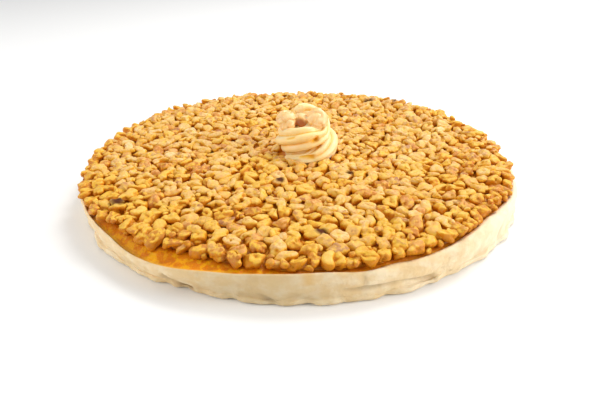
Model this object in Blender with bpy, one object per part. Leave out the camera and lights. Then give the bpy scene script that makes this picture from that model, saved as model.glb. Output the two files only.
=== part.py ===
"""A large honey nut cake: a pastry case with a set honey filling, a heap of nuts over it, and
one piped cream rosette in the middle that holds a walnut half. Metres, +Z up, with the origin
on the flat underside at the middle of the foot. The front of the cake faces -Y."""

import math
import random

import bmesh
import bpy
from mathutils import Euler, Matrix, Vector, noise

# A bump around the cake is (direction in degrees from the front, positive towards +X; size;
# half-width in degrees). An unevenness is the most that something wanders around the cake.

# Pastry case
FOOT_RADIUS = 0.1402
FOOT_UNEVEN = 0.0010
FOOT_BEVEL = 0.0030        # the flat underside stops this far inside the foot
HEM_PROUD = 0.0013         # how far the ragged hem of dough stands out of the foot
HEM_UNEVEN = 0.0016
HEM_HEIGHT = 0.0034
HEM_TOP_UNEVEN = 0.0014
HEM_LIFT = 0.0006          # the hem's lower edge stays at least this far off the table
HEM_LEDGE = 0.0010         # height of the step from the hem in to the wall
HEM_WAVES = 12
SHOULDER_RADIUS = 0.1430   # outside of the wall near its top
SHOULDER_LEAN = 0.0012     # the shoulder sits this far to the -X side of the foot
RIM_RADIUS = 0.1393        # inner edge of the rim, where the filling starts
RIM_LEAN = 0.0034          # the rim sits this far to the -X side of the foot
RIM_HEIGHT = 0.0168
RIM_UNEVEN = 0.0005
EDGE_UNEVEN = 0.0006       # of the shoulder and of the rim's inner edge, in and out
WALL_UNEVEN = 0.0012
RIM_DIP = 0.0008           # the rim's inner edge lies this much lower than its crown
RIM_ROLL = (0.42, 0.0018)  # the crown is this share of the rim's width, or this far, from the filling
# Up the outside of the wall, as shares of the way out to the shoulder and of the rim's height
LOW_WALL_OUT = 0.25
MIDDLE_WALL = (0.65, 0.52)
SHOULDER_LEVEL = 0.78
ROLL_POINT = (0.55, 0.955)       # between the crown and the shoulder
FLOOR = 0.0030             # thickness of the pastry under the filling
WALL = 0.0042              # and beside it, at the floor
SEGMENTS = 84              # around the case and the filling
RIM_WAVES = (
    (-37, -0.0026, 13), (0, 0.0015, 11), (24, -0.0009, 6), (43, 0.0014, 9), (80, -0.0006, 14),
    (118, 0.0008, 16), (165, -0.0008, 20), (-140, 0.0008, 18), (-88, -0.0004, 12),
)
RIM_BULGES = (
    (-30, 0.0032, 12), (12, 0.0010, 4), (19, -0.0012, 3), (49, -0.0019, 8), (66, 0.0012, 7),
    (130, -0.0010, 12), (-125, 0.0016, 18),
)
SHOULDER_BULGES = ((-30, 0.0026, 12), (49, -0.0012, 9), (-125, 0.0012, 18), (130, -0.0008, 12))

# Honey filling
GAP = 0.0003               # between neighbouring pieces
SIDE_GAP = 0.0005          # between the filling and the uneven wall, twice this at the floor
FILLING_TOP = 0.0166       # the flat top that the nuts lie on
FILLING_SINK = 0.0008      # the filling's edge lies this far under the rim's inner edge
FILLING_UNEVEN = 0.0002
# Its two inner rings lie this far in from its edge, and this share of a bare patch further in.
SWELL_INSET = (0.0024, 0.2)
FLAT_INSET = (0.0046, 0.6)

# Nut topping
OVERHANG = 0.0012          # the nuts reach this far past the rim's inner edge
# Here the nuts stop short of the rim, and the filling shows.
BARE_PATCHES = ((-27, 0.0108, 12), (-47, 0.0044, 8), (-8, 0.0026, 7), (150, 0.0020, 12))
CORE_TOP = 0.0196          # of the bare core, in the middle
CORE_EDGE_TOP = 0.0183
CORE_INSET = 0.0062        # the nuts stand out this far beyond the core
CORE_SEGMENTS = 40
FLAT_RADIUS = 0.096        # the core is flat this far out, and falls from there to its edge
NUT_SINK = 0.0011          # how deep a nut sits in the core
NUT_LIFT = 0.0002          # how far a nut that would touch the filling or the rim clears the gap
NUT_LENGTHS = (0.0178, 0.0092)   # of the largest and of the smallest
NUT_HEIGHT = 0.0062
NUT_HEIGHTS = (0.86, 1.10)       # from the flattest to the tallest, as shares of that height
NUT_TILT = 0.11
NUT_SIDES = 5
# Kinds: the share of the nuts, then length and width in nut lengths, and unevenness
CASHEW_SHARE = 0.07
HALF_SHARE = 0.50
HALF_SHAPE = (1.00, 0.66, 0.05)
PIECE_SHAPE = (0.94, 0.80, 0.12)
NUT_BASE = 0.96            # a nut is this much narrower at its foot
NUT_SHOULDER = (0.50, 0.66)      # its sides stand straight up to this share of its height
RIDGE_HALF = 0.27          # half-length of its ridge, in nut lengths
RIDGE_SKEW = 0.14          # the most that an end of the ridge is off the middle, in nut widths
RIDGE_HEIGHTS = (0.9, 1.0)
CASHEW_SHAPE = (1.05, 1.1)       # length in nut lengths, thickness in nut heights
CASHEW_BEND = 0.40         # radius of a cashew's arc, in its lengths
CASHEW_BACK = 0.7          # its arc's middle lies this many radii behind it
CASHEW_REST = 0.42         # height of its middle line, in its thicknesses
# Along a cashew: the direction on its arc in radians, and its thickness there, 0 at a tip
CASHEW_SECTIONS = ((-1.25, 0.0), (-0.85, 0.8), (0.0, 1.0), (0.85, 0.85), (1.25, 0.0))
NUT_COUNT = 328
EDGE_NUTS = 60
EDGE_LENGTHS = (0.66, 0.90)      # of the edge's nuts, as shares of the largest
EDGE_WANDER = (-0.0014, 0.0012)
COLLAR_NUTS = 13
COLLAR_LENGTH = 0.0112
COLLAR_LENGTHS = (0.85, 1.0)
CROWDING = 0.40            # two nuts' middles keep this share of their lengths apart
PLACING_TRIES = 400
SEED = 11

# Cream rosette
ROSETTE_PLACE = (0.0045, 0.0010)
ROSETTE_RADIUS = 0.0213
# The piped rope from its tail on: direction of its middle in degrees, counted on from turn to
# turn, how far out it lies, its radius, and the height of its middle over the nuts
ROPE_STATIONS = (
    (222, 0.0186, 0.0023, 0.0022), (245, 0.0178, 0.0030, 0.0028), (270, 0.0172, 0.0038, 0.0036),
    (300, 0.0154, 0.0058, 0.0052), (330, 0.0134, 0.0078, 0.0072), (360, 0.0124, 0.0083, 0.0084),
    (450, 0.0124, 0.0082, 0.0100), (540, 0.0128, 0.0080, 0.0118), (585, 0.0126, 0.0078, 0.0140),
    (630, 0.0118, 0.0074, 0.0156), (660, 0.0118, 0.0060, 0.0156), (682, 0.0124, 0.0046, 0.0162),
    (705, 0.0116, 0.0040, 0.0184), (745, 0.0108, 0.0046, 0.0226), (810, 0.0106, 0.0056, 0.0264),
    (835, 0.0100, 0.0052, 0.0266),
)
TAIL_TIP = 0.0030          # the tip stands out this far before the tail
END_TIP = (-0.0046, 0.0, 0.0022)
ROPE_RIDGES = 6
RIDGE_REACH = (1.08, 0.76)       # of a ridge and of a groove, in rope radii
ROPE_TWIST = 165           # degrees that the ridges turn in one turn round the rosette
ROPE_PHASE = 18
ROPE_STEPS = 30
ROPE_PARTS = 6             # lengths of rope that overlap, so that each one is simple
AHEAD = 2.4                # degrees along the rope over which its direction is read
# The cream inside the coil, as (radius, height, distance back) from its foot up
HEART = ((0.0150, 0.0, 0.0), (0.0150, 0.0070, 0.0), (0.0118, 0.0160, 0.0010), (0.0070, 0.0268, 0.0056))
HEART_SIDES = 12

# Walnut half
WALNUT_PLACE = (0.0040, -0.0016, 0.0442)
WALNUT_TILT = math.radians(30)   # towards the front
# Each lobe is (place, half-sizes along X, Y and Z, turn about Z in degrees).
WALNUT_LOBES = (
    ((-0.0128, -0.0010, -0.0006), (0.0066, 0.0084, 0.0052), -14),
    ((0.0080, 0.0, 0.0), (0.0084, 0.0088, 0.0053), 10),
)
LOBE_MESH = (8, 12)        # rings and sides
BRIDGE_PLACE = (-0.0034, 0.0042, -0.0014)
BRIDGE_SIZE = (0.0072, 0.0036, 0.0032)
BRIDGE_MESH = (5, 8)
FURROW_DEPTH = 0.16        # of a lobe's half-sizes
FURROW_SCALE = 2.1
WALNUT_CLEARANCE = 1.10    # the seat in the cream is this much larger than the walnut


def clear_scene():
    for obj in list(bpy.data.objects):
        bpy.data.objects.remove(obj, do_unlink=True)


def food_material(name, colour, roughness, coat=0.0):
    """A Principled material with the piece's own colour and no metal in it."""
    material = bpy.data.materials.new(name)
    material.use_nodes = True
    shader = material.node_tree.nodes["Principled BSDF"]
    shader.inputs["Base Color"].default_value = (*colour, 1.0)
    shader.inputs["Roughness"].default_value = roughness
    shader.inputs["Metallic"].default_value = 0.0
    shader.inputs["Coat Weight"].default_value = coat
    material.diffuse_color = (*colour, 1.0)
    return material


def add_object(name, mesh, collection=None):
    obj = bpy.data.objects.new(name, mesh)
    (collection or bpy.context.scene.collection).objects.link(obj)
    return obj


def finish_object(obj, material, sharp_angle):
    obj.data.materials.clear()
    obj.data.materials.append(material)
    obj.data.shade_smooth()
    obj.data.set_sharp_from_angle(angle=math.radians(sharp_angle))


def bmesh_to_mesh(name, shape):
    mesh = bpy.data.meshes.new(name)
    shape.to_mesh(mesh)
    shape.free()
    return mesh


def mesh_from_rings(name, rings):
    """A closed mesh through rings of equal length, with a flat cap on the first and the last.
    A ring of one point closes its end in a tip."""
    shape = bmesh.new()
    loops = [[shape.verts.new(point) for point in ring] for ring in rings]
    count = max(len(ring) for ring in rings)
    for low, high in zip(loops, loops[1:]):
        for i in range(count):
            j = (i + 1) % count
            corners = [low[i % len(low)], low[j % len(low)], high[j % len(high)], high[i % len(high)]]
            shape.faces.new(list(dict.fromkeys(corners)))
    for end in (loops[0], loops[-1]):
        if len(end) > 2:
            shape.faces.new(end)
    bmesh.ops.recalc_face_normals(shape, faces=shape.faces)
    return bmesh_to_mesh(name, shape)


def hull_mesh(name, points):
    """The convex hull of some points."""
    shape = bmesh.new()
    for point in points:
        shape.verts.new(point)
    hull = bmesh.ops.convex_hull(shape, input=shape.verts)
    unused = hull["geom_interior"] + hull["geom_unused"]
    spare = {item for item in unused if isinstance(item, bmesh.types.BMVert)}
    bmesh.ops.delete(shape, geom=list(spare), context="VERTS")
    bmesh.ops.recalc_face_normals(shape, faces=shape.faces)
    return bmesh_to_mesh(name, shape)


def apply_boolean(obj, operation, operand):
    """Unites or cuts an object with a collection or with one other object, for good."""
    boolean = obj.modifiers.new("Join", "BOOLEAN")
    boolean.operation = operation
    boolean.solver = "MANIFOLD"
    if isinstance(operand, bpy.types.Collection):
        boolean.operand_type = "COLLECTION"
        boolean.collection = operand
    else:
        boolean.object = operand
    graph = bpy.context.evaluated_depsgraph_get()
    graph.update()
    joined = bpy.data.meshes.new_from_object(obj.evaluated_get(graph))
    obj.modifiers.clear()
    obj.data = joined


def new_collection(name):
    collection = bpy.data.collections.new(name)
    bpy.context.scene.collection.children.link(collection)
    return collection


def unite(obj, pieces):
    """Fuses a collection's objects onto an object, and removes them."""
    apply_boolean(obj, "UNION", pieces)
    for piece in list(pieces.objects):
        bpy.data.objects.remove(piece, do_unlink=True)
    bpy.data.collections.remove(pieces)
    keep_main_body(obj)


def signed_volume(faces):
    total = 0.0
    for face in faces:
        points = [vert.co for vert in face.verts]
        for second, third in zip(points[1:], points[2:]):
            total += points[0].dot(second.cross(third)) / 6
    return total


def keep_main_body(obj):
    """Drops loose scraps and sealed hollows, which are shells of their own, after a Boolean."""
    shape = bmesh.new()
    shape.from_mesh(obj.data)
    waiting = set(shape.faces)
    shells = []
    while waiting:
        shell = {waiting.pop()}
        edge = list(shell)
        while edge:
            face = edge.pop()
            near = {other for line in face.edges for other in line.link_faces} - shell
            shell |= near
            edge.extend(near)
        waiting -= shell
        shells.append(shell)
    main_shell = max(shells, key=signed_volume)
    spare = [face for shell in shells if shell is not main_shell for face in shell]
    bmesh.ops.delete(shape, geom=spare, context="FACES")
    loose = [vert for vert in shape.verts if not vert.link_faces]
    bmesh.ops.delete(shape, geom=loose, context="VERTS")
    bmesh.ops.triangulate(shape, faces=shape.faces)
    shape.to_mesh(obj.data)
    shape.free()


def from_front(angle):
    """A direction around the cake, in degrees from the front, positive towards +X."""
    return (math.degrees(angle) + 270) % 360 - 180


def bumps(angle, table):
    """The sum of a table's smooth bumps in one direction."""
    total = 0.0
    for centre, size, half_width in table:
        away = (from_front(angle) - centre + 180) % 360 - 180
        total += size * math.exp(-((away / half_width) ** 2))
    return total


def uneven(angle, size, layer, waves=7):
    """Hand-made unevenness around the cake, about -size to size, its own for each layer."""
    spot = Vector((math.cos(angle) * waves, math.sin(angle) * waves, layer * 3.7))
    return size * noise.noise(spot)


def rim_height(angle):
    return RIM_HEIGHT + bumps(angle, RIM_WAVES) + uneven(angle, RIM_UNEVEN, 1)


def inner_radius(angle):
    """The inner edge of the rim, measured from the middle of the foot."""
    lean = RIM_LEAN * math.cos(angle)
    return RIM_RADIUS - lean + bumps(angle, RIM_BULGES) + uneven(angle, EDGE_UNEVEN, 2)


def shoulder_radius(angle):
    lean = SHOULDER_LEAN * math.cos(angle)
    return SHOULDER_RADIUS - lean + bumps(angle, SHOULDER_BULGES) + uneven(angle, EDGE_UNEVEN, 3)


def foot_radius(angle):
    return FOOT_RADIUS + uneven(angle, FOOT_UNEVEN, 4)


def floor_radius(angle):
    """The inside of the wall where it meets the floor, always a little under the rim's edge."""
    return min(foot_radius(angle) - WALL, inner_radius(angle) - GAP)


def wall_radius(angle, height):
    """The inside of the wall at a height between the floor and the rim's inner edge."""
    up = (height - FLOOR) / (rim_height(angle) - RIM_DIP - FLOOR)
    return floor_radius(angle) + up * (inner_radius(angle) - floor_radius(angle))


def nut_edge(angle):
    """How far out the nuts reach in one direction."""
    return inner_radius(angle) + OVERHANG - bumps(angle, BARE_PATCHES)


def at(angle, radius, height):
    return (radius * math.cos(angle), radius * math.sin(angle), height)


def turned(name, profile, segments):
    """A solid whose section, as (radius, height) points, is a function of the direction."""
    angles = [math.tau * i / segments for i in range(segments)]
    sections = [profile(angle) for angle in angles]
    rings = [[at(angle, *point) for angle, point in zip(angles, ring)] for ring in zip(*sections)]
    return add_object(name, mesh_from_rings(name, rings))


def case_profile(angle):
    """The wall leans from its foot to its shoulder and rolls over into the rim, and a ragged
    hem of dough runs round the foot."""
    foot, shoulder, inner = foot_radius(angle), shoulder_radius(angle), inner_radius(angle)
    top = rim_height(angle)
    hem = foot + HEM_PROUD + uneven(angle, HEM_UNEVEN, 5, HEM_WAVES)
    hem_top = HEM_HEIGHT + uneven(angle, HEM_TOP_UNEVEN, 6, HEM_WAVES)
    hem_low = HEM_LIFT + abs(uneven(angle, WALL_UNEVEN, 7, HEM_WAVES))
    low = foot + LOW_WALL_OUT * (shoulder - foot) + uneven(angle, FOOT_UNEVEN, 8)
    middle = foot + MIDDLE_WALL[0] * (shoulder - foot) + uneven(angle, WALL_UNEVEN, 9)
    crown = inner + min(RIM_ROLL[0] * (shoulder - inner), RIM_ROLL[1])
    return (
        (foot - FOOT_BEVEL, 0.0),
        (hem, hem_low),
        (hem, hem_top),
        (low, hem_top + HEM_LEDGE),
        (middle, MIDDLE_WALL[1] * top + uneven(angle, WALL_UNEVEN, 10)),
        (shoulder, SHOULDER_LEVEL * top),
        (crown + ROLL_POINT[0] * (shoulder - crown), ROLL_POINT[1] * top),
        (crown, top),
        (inner, top - RIM_DIP),
        (floor_radius(angle), FLOOR),
    )


def filling_profile(angle):
    """Fills the case, and rises from the rim's inner edge to the flat that carries the nuts."""
    edge_top = min(rim_height(angle) - RIM_DIP - FILLING_SINK, FILLING_TOP - 2 * GAP)
    side = wall_radius(angle, edge_top) - SIDE_GAP
    bare = bumps(angle, BARE_PATCHES)
    swell = FILLING_TOP - GAP + uneven(angle, FILLING_UNEVEN, 11, HEM_WAVES)
    return (
        (wall_radius(angle, FLOOR + GAP) - 2 * SIDE_GAP, FLOOR + GAP),
        (side, edge_top),
        (side - SWELL_INSET[0] - SWELL_INSET[1] * bare, swell),
        (side - FLAT_INSET[0] - FLAT_INSET[1] * bare, FILLING_TOP),
    )


def core_profile(angle):
    """The bare core of the nut topping, flat in the middle and falling gently to its edge."""
    edge = nut_edge(angle) - CORE_INSET
    return ((edge, FILLING_TOP + GAP), (edge, CORE_EDGE_TOP), (FLAT_RADIUS, CORE_TOP))


def core_top(x, y):
    out = max(0.0, math.hypot(x, y) - FLAT_RADIUS) / (RIM_RADIUS - CORE_INSET - FLAT_RADIUS)
    return CORE_TOP + (CORE_EDGE_TOP - CORE_TOP) * min(out, 1.0)


def clear_level(x, y):
    """The lowest that a nut may reach at a place, just clear of the filling and the rim."""
    angle = math.atan2(y, x)
    if math.hypot(x, y) < inner_radius(angle) - EDGE_UNEVEN:
        return FILLING_TOP + GAP
    return max(FILLING_TOP, rim_height(angle)) + GAP


def chunk_points(shape, length, height, rng):
    """Corners of a rough nut that lies along X: flat-sided up to its shoulder, and above it a
    short ridge."""
    long, wide, unevenness = shape
    length, width = long * length, wide * length
    points = []
    shoulder = rng.uniform(*NUT_SHOULDER) * height
    for i in range(NUT_SIDES):
        angle = math.tau * i / NUT_SIDES
        reach = 0.5 * (1 + rng.uniform(-unevenness, unevenness))
        x = reach * length * math.cos(angle)
        y = reach * width * math.sin(angle)
        points.append(Vector((NUT_BASE * x, NUT_BASE * y, 0.0)))
        points.append(Vector((x, y, shoulder)))
    for side in (-1, 1):
        x = side * RIDGE_HALF * length * (1 + rng.uniform(-unevenness, unevenness))
        y = rng.uniform(-RIDGE_SKEW, RIDGE_SKEW) * width
        points.append(Vector((x, y, height * rng.uniform(*RIDGE_HEIGHTS))))
    return points


def cashew_mesh(name, length, thickness):
    """A crescent that lies flat, from five-sided sections along an arc, with a tip at each end."""
    radius = CASHEW_BEND * length
    rings = []
    for direction, fat in CASHEW_SECTIONS:
        outward = Vector((math.sin(direction), math.cos(direction), 0.0))
        middle = radius * outward + Vector((0.0, -CASHEW_BACK * radius, CASHEW_REST * thickness))
        if fat == 0.0:
            rings.append([middle])
            continue
        ring = []
        for i in range(NUT_SIDES):
            turn = math.tau * (i + 0.25) / NUT_SIDES
            across = outward * math.cos(turn) + Vector((0.0, 0.0, math.sin(turn)))
            ring.append(middle + 0.5 * thickness * fat * across)
        rings.append(ring)
    return mesh_from_rings(name, rings)


def nut_mesh(name, length, rng):
    kind = rng.random()
    height = NUT_HEIGHT * rng.uniform(*NUT_HEIGHTS)
    if kind < CASHEW_SHARE:
        return cashew_mesh(name, CASHEW_SHAPE[0] * length, CASHEW_SHAPE[1] * height)
    shape = HALF_SHAPE if kind < CASHEW_SHARE + HALF_SHARE else PIECE_SHAPE
    return hull_mesh(name, chunk_points(shape, length, height, rng))


def place_nut(mesh, x, y, turn, tilt):
    """Turns, tilts and drops a nut onto the core, and lifts it clear of what lies below."""
    mesh.transform(Euler((tilt[0], tilt[1], turn)).to_matrix().to_4x4())
    mesh.transform(Matrix.Translation((x, y, core_top(x, y) - NUT_SINK)))
    lift = max(clear_level(vert.co.x, vert.co.y) - vert.co.z for vert in mesh.vertices)
    if lift > 0:
        mesh.transform(Matrix.Translation((0, 0, lift + NUT_LIFT)))


def clear_of_rosette(mesh):
    middle = Vector(ROSETTE_PLACE)
    return all((vert.co.xy - middle).length > ROSETTE_RADIUS + 2 * GAP for vert in mesh.vertices)


def edge_places(rng):
    """Nuts all along the edge of the heap, where its ragged outline shows."""
    for i in range(EDGE_NUTS):
        angle = math.tau * (i + rng.uniform(-0.2, 0.2)) / EDGE_NUTS
        length = NUT_LENGTHS[0] * rng.uniform(*EDGE_LENGTHS)
        radius = nut_edge(angle) - CROWDING * length + rng.uniform(*EDGE_WANDER)
        yield radius * math.cos(angle), radius * math.sin(angle), length, rng.uniform(0, math.tau)


def collar_places(rng):
    """Nuts in a ring close round the rosette, lying along its foot."""
    for i in range(COLLAR_NUTS):
        angle = math.tau * (i + rng.uniform(-0.15, 0.15)) / COLLAR_NUTS
        length = COLLAR_LENGTH * rng.uniform(*COLLAR_LENGTHS)
        radius = ROSETTE_RADIUS + CROWDING * length
        x = ROSETTE_PLACE[0] + radius * math.cos(angle)
        y = ROSETTE_PLACE[1] + radius * math.sin(angle)
        yield x, y, length, angle + math.pi / 2


def has_room(x, y, length, taken):
    """Whether a nut fits at a place, between its neighbours, the rosette and the heap's edge."""
    if math.hypot(x - ROSETTE_PLACE[0], y - ROSETTE_PLACE[1]) < ROSETTE_RADIUS:
        return False
    if math.hypot(x, y) > nut_edge(math.atan2(y, x)) - 0.5 * length:
        return False
    return all(math.hypot(x - a, y - b) > CROWDING * (length + size) for a, b, size, _ in taken)


def spread_places(taken, rng):
    """Nuts over the rest of the heap, the largest first, none closer to another than they fit."""
    largest, smallest = NUT_LENGTHS
    wanted = NUT_COUNT - len(taken)
    for i in range(wanted):
        length = largest + (smallest - largest) * (i / wanted) ** 0.8
        for _ in range(PLACING_TRIES):
            angle = rng.uniform(0, math.tau)
            radius = nut_edge(angle) * math.sqrt(rng.random())
            x, y = radius * math.cos(angle), radius * math.sin(angle)
            if has_room(x, y, length, taken):
                taken.append((x, y, length, rng.uniform(0, math.tau)))
                yield taken[-1]
                break


def nut_topping():
    """One heap: a plain core, with every nut that is large enough fused onto it."""
    rng = random.Random(SEED)
    topping = turned("nut_topping", core_profile, CORE_SEGMENTS)
    nuts = new_collection("nuts")
    places = list(edge_places(rng)) + list(collar_places(rng))
    places += list(spread_places(list(places), rng))
    for number, (x, y, length, turn) in enumerate(places):
        name = f"nut_{number}"
        mesh = nut_mesh(name, length, rng)
        place_nut(mesh, x, y, turn, [rng.uniform(-NUT_TILT, NUT_TILT) for _ in range(2)])
        if clear_of_rosette(mesh):
            add_object(name, mesh, nuts)
    unite(topping, nuts)
    return topping


def rope_point(angle):
    """The middle of the piped rope and its radius, in a direction between two stations."""
    for start, end in zip(ROPE_STATIONS, ROPE_STATIONS[1:]):
        if angle <= end[0]:
            break
    share = (angle - start[0]) / (end[0] - start[0])
    reach, radius, height = [low + (high - low) * share for low, high in zip(start[1:], end[1:])]
    x = ROSETTE_PLACE[0] + reach * math.cos(math.radians(angle))
    y = ROSETTE_PLACE[1] + reach * math.sin(math.radians(angle))
    return Vector((x, y, CORE_TOP + GAP + height)), radius


def rope_ring(angle):
    """A ridged section across the rope, flattened where it lies on the nuts."""
    middle, radius = rope_point(angle)
    forward = (rope_point(angle + AHEAD)[0] - rope_point(angle - AHEAD)[0]).normalized()
    side = forward.cross(Vector((0, 0, 1))).normalized()
    above = side.cross(forward)
    spun = ROPE_PHASE + ROPE_TWIST * (angle - ROPE_STATIONS[0][0]) / 360
    ring = []
    for i in range(2 * ROPE_RIDGES):
        turn = math.tau * i / (2 * ROPE_RIDGES) + math.radians(spun)
        reach = radius * RIDGE_REACH[i % 2]
        point = middle + reach * (side * math.cos(turn) + above * math.sin(turn))
        point.z = max(point.z, CORE_TOP + GAP)
        ring.append(point)
    return ring


def rope_length(name, first, last):
    """The rope from one step to another, with its own tip where that is an end of the rope."""
    start, end = ROPE_STATIONS[0][0], ROPE_STATIONS[-1][0]
    rings = [rope_ring(start + (end - start) * step / ROPE_STEPS) for step in range(first, last + 1)]
    if first == 0:
        tail = rope_point(start)[0]
        backward = (tail - rope_point(start + AHEAD)[0]).normalized()
        rings.insert(0, [tail + TAIL_TIP * backward])
    if last == ROPE_STEPS:
        rings.append([rope_point(end)[0] + Vector(END_TIP)])
    return mesh_from_rings(name, rings)


def rosette_heart():
    """The cream inside the coil, so that no hollow is left in the middle."""
    rings = []
    for radius, height, back in HEART:
        middle = Vector((0, back, 0))
        ring = [Vector(at(math.tau * i / HEART_SIDES, radius, height)) for i in range(HEART_SIDES)]
        rings.append([point + middle for point in ring])
    heart = add_object("cream_rosette", mesh_from_rings("cream_rosette", rings))
    heart.data.transform(Matrix.Translation((*ROSETTE_PLACE, CORE_TOP + GAP)))
    return heart


def press_seat(rosette, walnut):
    """The hollow that the walnut presses into the cream, a little larger than the walnut."""
    seat = add_object("seat", hull_mesh("seat", [vert.co.copy() for vert in walnut.data.vertices]))
    middle = Vector(WALNUT_PLACE)
    grow = Matrix.Translation(middle) @ Matrix.Scale(WALNUT_CLEARANCE, 4)
    seat.data.transform(grow @ Matrix.Translation(-middle))
    apply_boolean(rosette, "DIFFERENCE", seat)
    bpy.data.objects.remove(seat, do_unlink=True)
    keep_main_body(rosette)


def cream_rosette(walnut):
    """A ridged rope that coils up round its heart, with the walnut's seat in its top."""
    rosette = rosette_heart()
    ropes = new_collection("ropes")
    stride = ROPE_STEPS // ROPE_PARTS
    for part in range(ROPE_PARTS):
        name = f"rope_{part}"
        first = max(0, part * stride - 1)
        add_object(name, rope_length(name, first, (part + 1) * stride), ropes)
    unite(rosette, ropes)
    press_seat(rosette, walnut)
    return rosette


def walnut_blob(name, centre, size, mesh_size):
    """A rounded, furrowed lump of walnut."""
    rings, sides = mesh_size
    shape = bmesh.new()
    bmesh.ops.create_uvsphere(shape, u_segments=sides, v_segments=rings, radius=1.0)
    for vert in shape.verts:
        furrow = 1 + FURROW_DEPTH * noise.noise(vert.co * FURROW_SCALE + Vector(centre) * 900)
        vert.co = Vector([c + s * v * furrow for c, s, v in zip(centre, size, vert.co)])
    return bmesh_to_mesh(name, shape)


def walnut_half():
    """Two furrowed lobes side by side with a bridge between them, open to the front."""
    walnut = add_object("walnut_half", walnut_blob("bridge", BRIDGE_PLACE, BRIDGE_SIZE, BRIDGE_MESH))
    lobes = new_collection("lobes")
    for place, size, turn in WALNUT_LOBES:
        lobe = walnut_blob("lobe", place, size, LOBE_MESH)
        lobe.transform(Matrix.Rotation(math.radians(turn), 4, "Z"))
        add_object("lobe", lobe, lobes)
    unite(walnut, lobes)
    walnut.data.transform(Matrix.Rotation(WALNUT_TILT, 4, "X"))
    walnut.data.transform(Matrix.Translation(WALNUT_PLACE))
    return walnut


def main():
    clear_scene()
    case = turned("pastry_case", case_profile, SEGMENTS)
    filling = turned("honey_filling", filling_profile, SEGMENTS)
    topping = nut_topping()
    walnut = walnut_half()
    rosette = cream_rosette(walnut)
    finish_object(case, food_material("baked_pastry", (0.74, 0.56, 0.33), 0.62), 50)
    finish_object(filling, food_material("set_honey", (0.56, 0.19, 0.02), 0.30, 0.3), 40)
    finish_object(topping, food_material("glazed_nuts", (0.72, 0.40, 0.12), 0.36, 0.2), 25)
    finish_object(rosette, food_material("piped_cream", (0.88, 0.68, 0.38), 0.42), 35)
    finish_object(walnut, food_material("walnut_skin", (0.80, 0.52, 0.25), 0.50), 35)


main()
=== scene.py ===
"""The looks of a large honey nut cake: baked dough, set honey filling, a heap of glazed nuts,
one piped cream rosette and a walnut half. Everything is in metres, in the frame of the cake:
the origin is in the middle of the foot, +Z is up and the front of the cake faces -Y."""

import itertools
import math
from collections import namedtuple

import bmesh
import bpy
import numpy as np
from mathutils import Euler, Matrix, Vector, noise


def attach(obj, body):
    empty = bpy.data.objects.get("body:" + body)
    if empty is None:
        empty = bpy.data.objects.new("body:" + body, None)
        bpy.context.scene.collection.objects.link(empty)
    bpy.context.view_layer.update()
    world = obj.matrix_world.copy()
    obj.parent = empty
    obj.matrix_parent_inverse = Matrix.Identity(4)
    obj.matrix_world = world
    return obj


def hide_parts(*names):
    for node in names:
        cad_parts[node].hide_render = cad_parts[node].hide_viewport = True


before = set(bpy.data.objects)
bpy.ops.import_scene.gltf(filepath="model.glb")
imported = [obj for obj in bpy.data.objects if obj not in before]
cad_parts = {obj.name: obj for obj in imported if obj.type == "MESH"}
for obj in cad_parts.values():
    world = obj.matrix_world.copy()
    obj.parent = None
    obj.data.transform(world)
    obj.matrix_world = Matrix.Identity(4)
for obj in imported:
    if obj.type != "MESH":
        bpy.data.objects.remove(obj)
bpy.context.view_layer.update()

# A bump around the cake is (direction in degrees from the front, positive towards +X; size;
# half-width in degrees). An unevenness is the most that something wanders around the cake.

# Pastry case. It bulges to the left: a lean is taken off at +X and added at -X.
FOOT_RADIUS = 0.1402
FOOT_UNEVEN = 0.0010
FOOT_BEVEL = 0.0030
HEM_PROUD = 0.0013         # the hem of dough stands out this far at the foot
HEM_UNEVEN = 0.0022
HEM_HEIGHT = 0.0034
HEM_TOP_UNEVEN = 0.0014
HEM_LIFT = 0.0006
HEM_LEDGE = 0.0007         # from the top of the hem up to the wall
RAGGED = 17                # waves of a ragged edge; a smoother one has fewer
SHOULDER_RADIUS = 0.1430
SHOULDER_LEAN = 0.0012
RIM_RADIUS = 0.1393
RIM_LEAN = 0.0034
RIM_HEIGHT = 0.0168
RIM_UNEVEN = 0.0005
EDGE_UNEVEN = 0.0006
WALL_UNEVEN = 0.0012
RIM_DIP = 0.0008           # the rim falls this much to its inner edge
RIM_ROLL = (0.42, 0.0018)  # from the inner edge to the crown: share of the rim, and the most
LOW_WALL_OUT = 0.25        # how far out the wall starts, of the way from the foot to the shoulder
MIDDLE_WALL = (0.65, 0.52)     # of the way out to the shoulder, and of the rim's height
SHOULDER_LEVEL = 0.78          # of the rim's height
ROLL_POINT = (0.55, 0.955)     # of the way from the crown to the shoulder, and of the rim's height
LIP = (0.0003, 0.0016)     # the inner edge of the rim turns in and down this far
FLOOR = 0.0030
WALL = 0.0042
RIM_WAVES = (
    (-37, -0.0026, 13), (0, 0.0015, 11), (24, -0.0009, 6), (43, 0.0014, 9), (80, -0.0006, 14),
    (118, 0.0008, 16), (165, -0.0008, 20), (-140, 0.0008, 18), (-88, -0.0004, 12),
)
RIM_BULGES = (
    (-30, 0.0032, 12), (12, 0.0010, 4), (19, -0.0012, 3), (49, -0.0019, 8), (66, 0.0012, 7),
    (130, -0.0010, 12), (-125, 0.0016, 18),
)
SHOULDER_BULGES = ((-30, 0.0026, 12), (49, -0.0012, 9), (-125, 0.0012, 18), (130, -0.0008, 12))
DIRECTIONS = 720
WALL_STEPS = (3, 4, 3, 9, 9, 6, 4, 4)      # rings between one point of the section and the next

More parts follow.
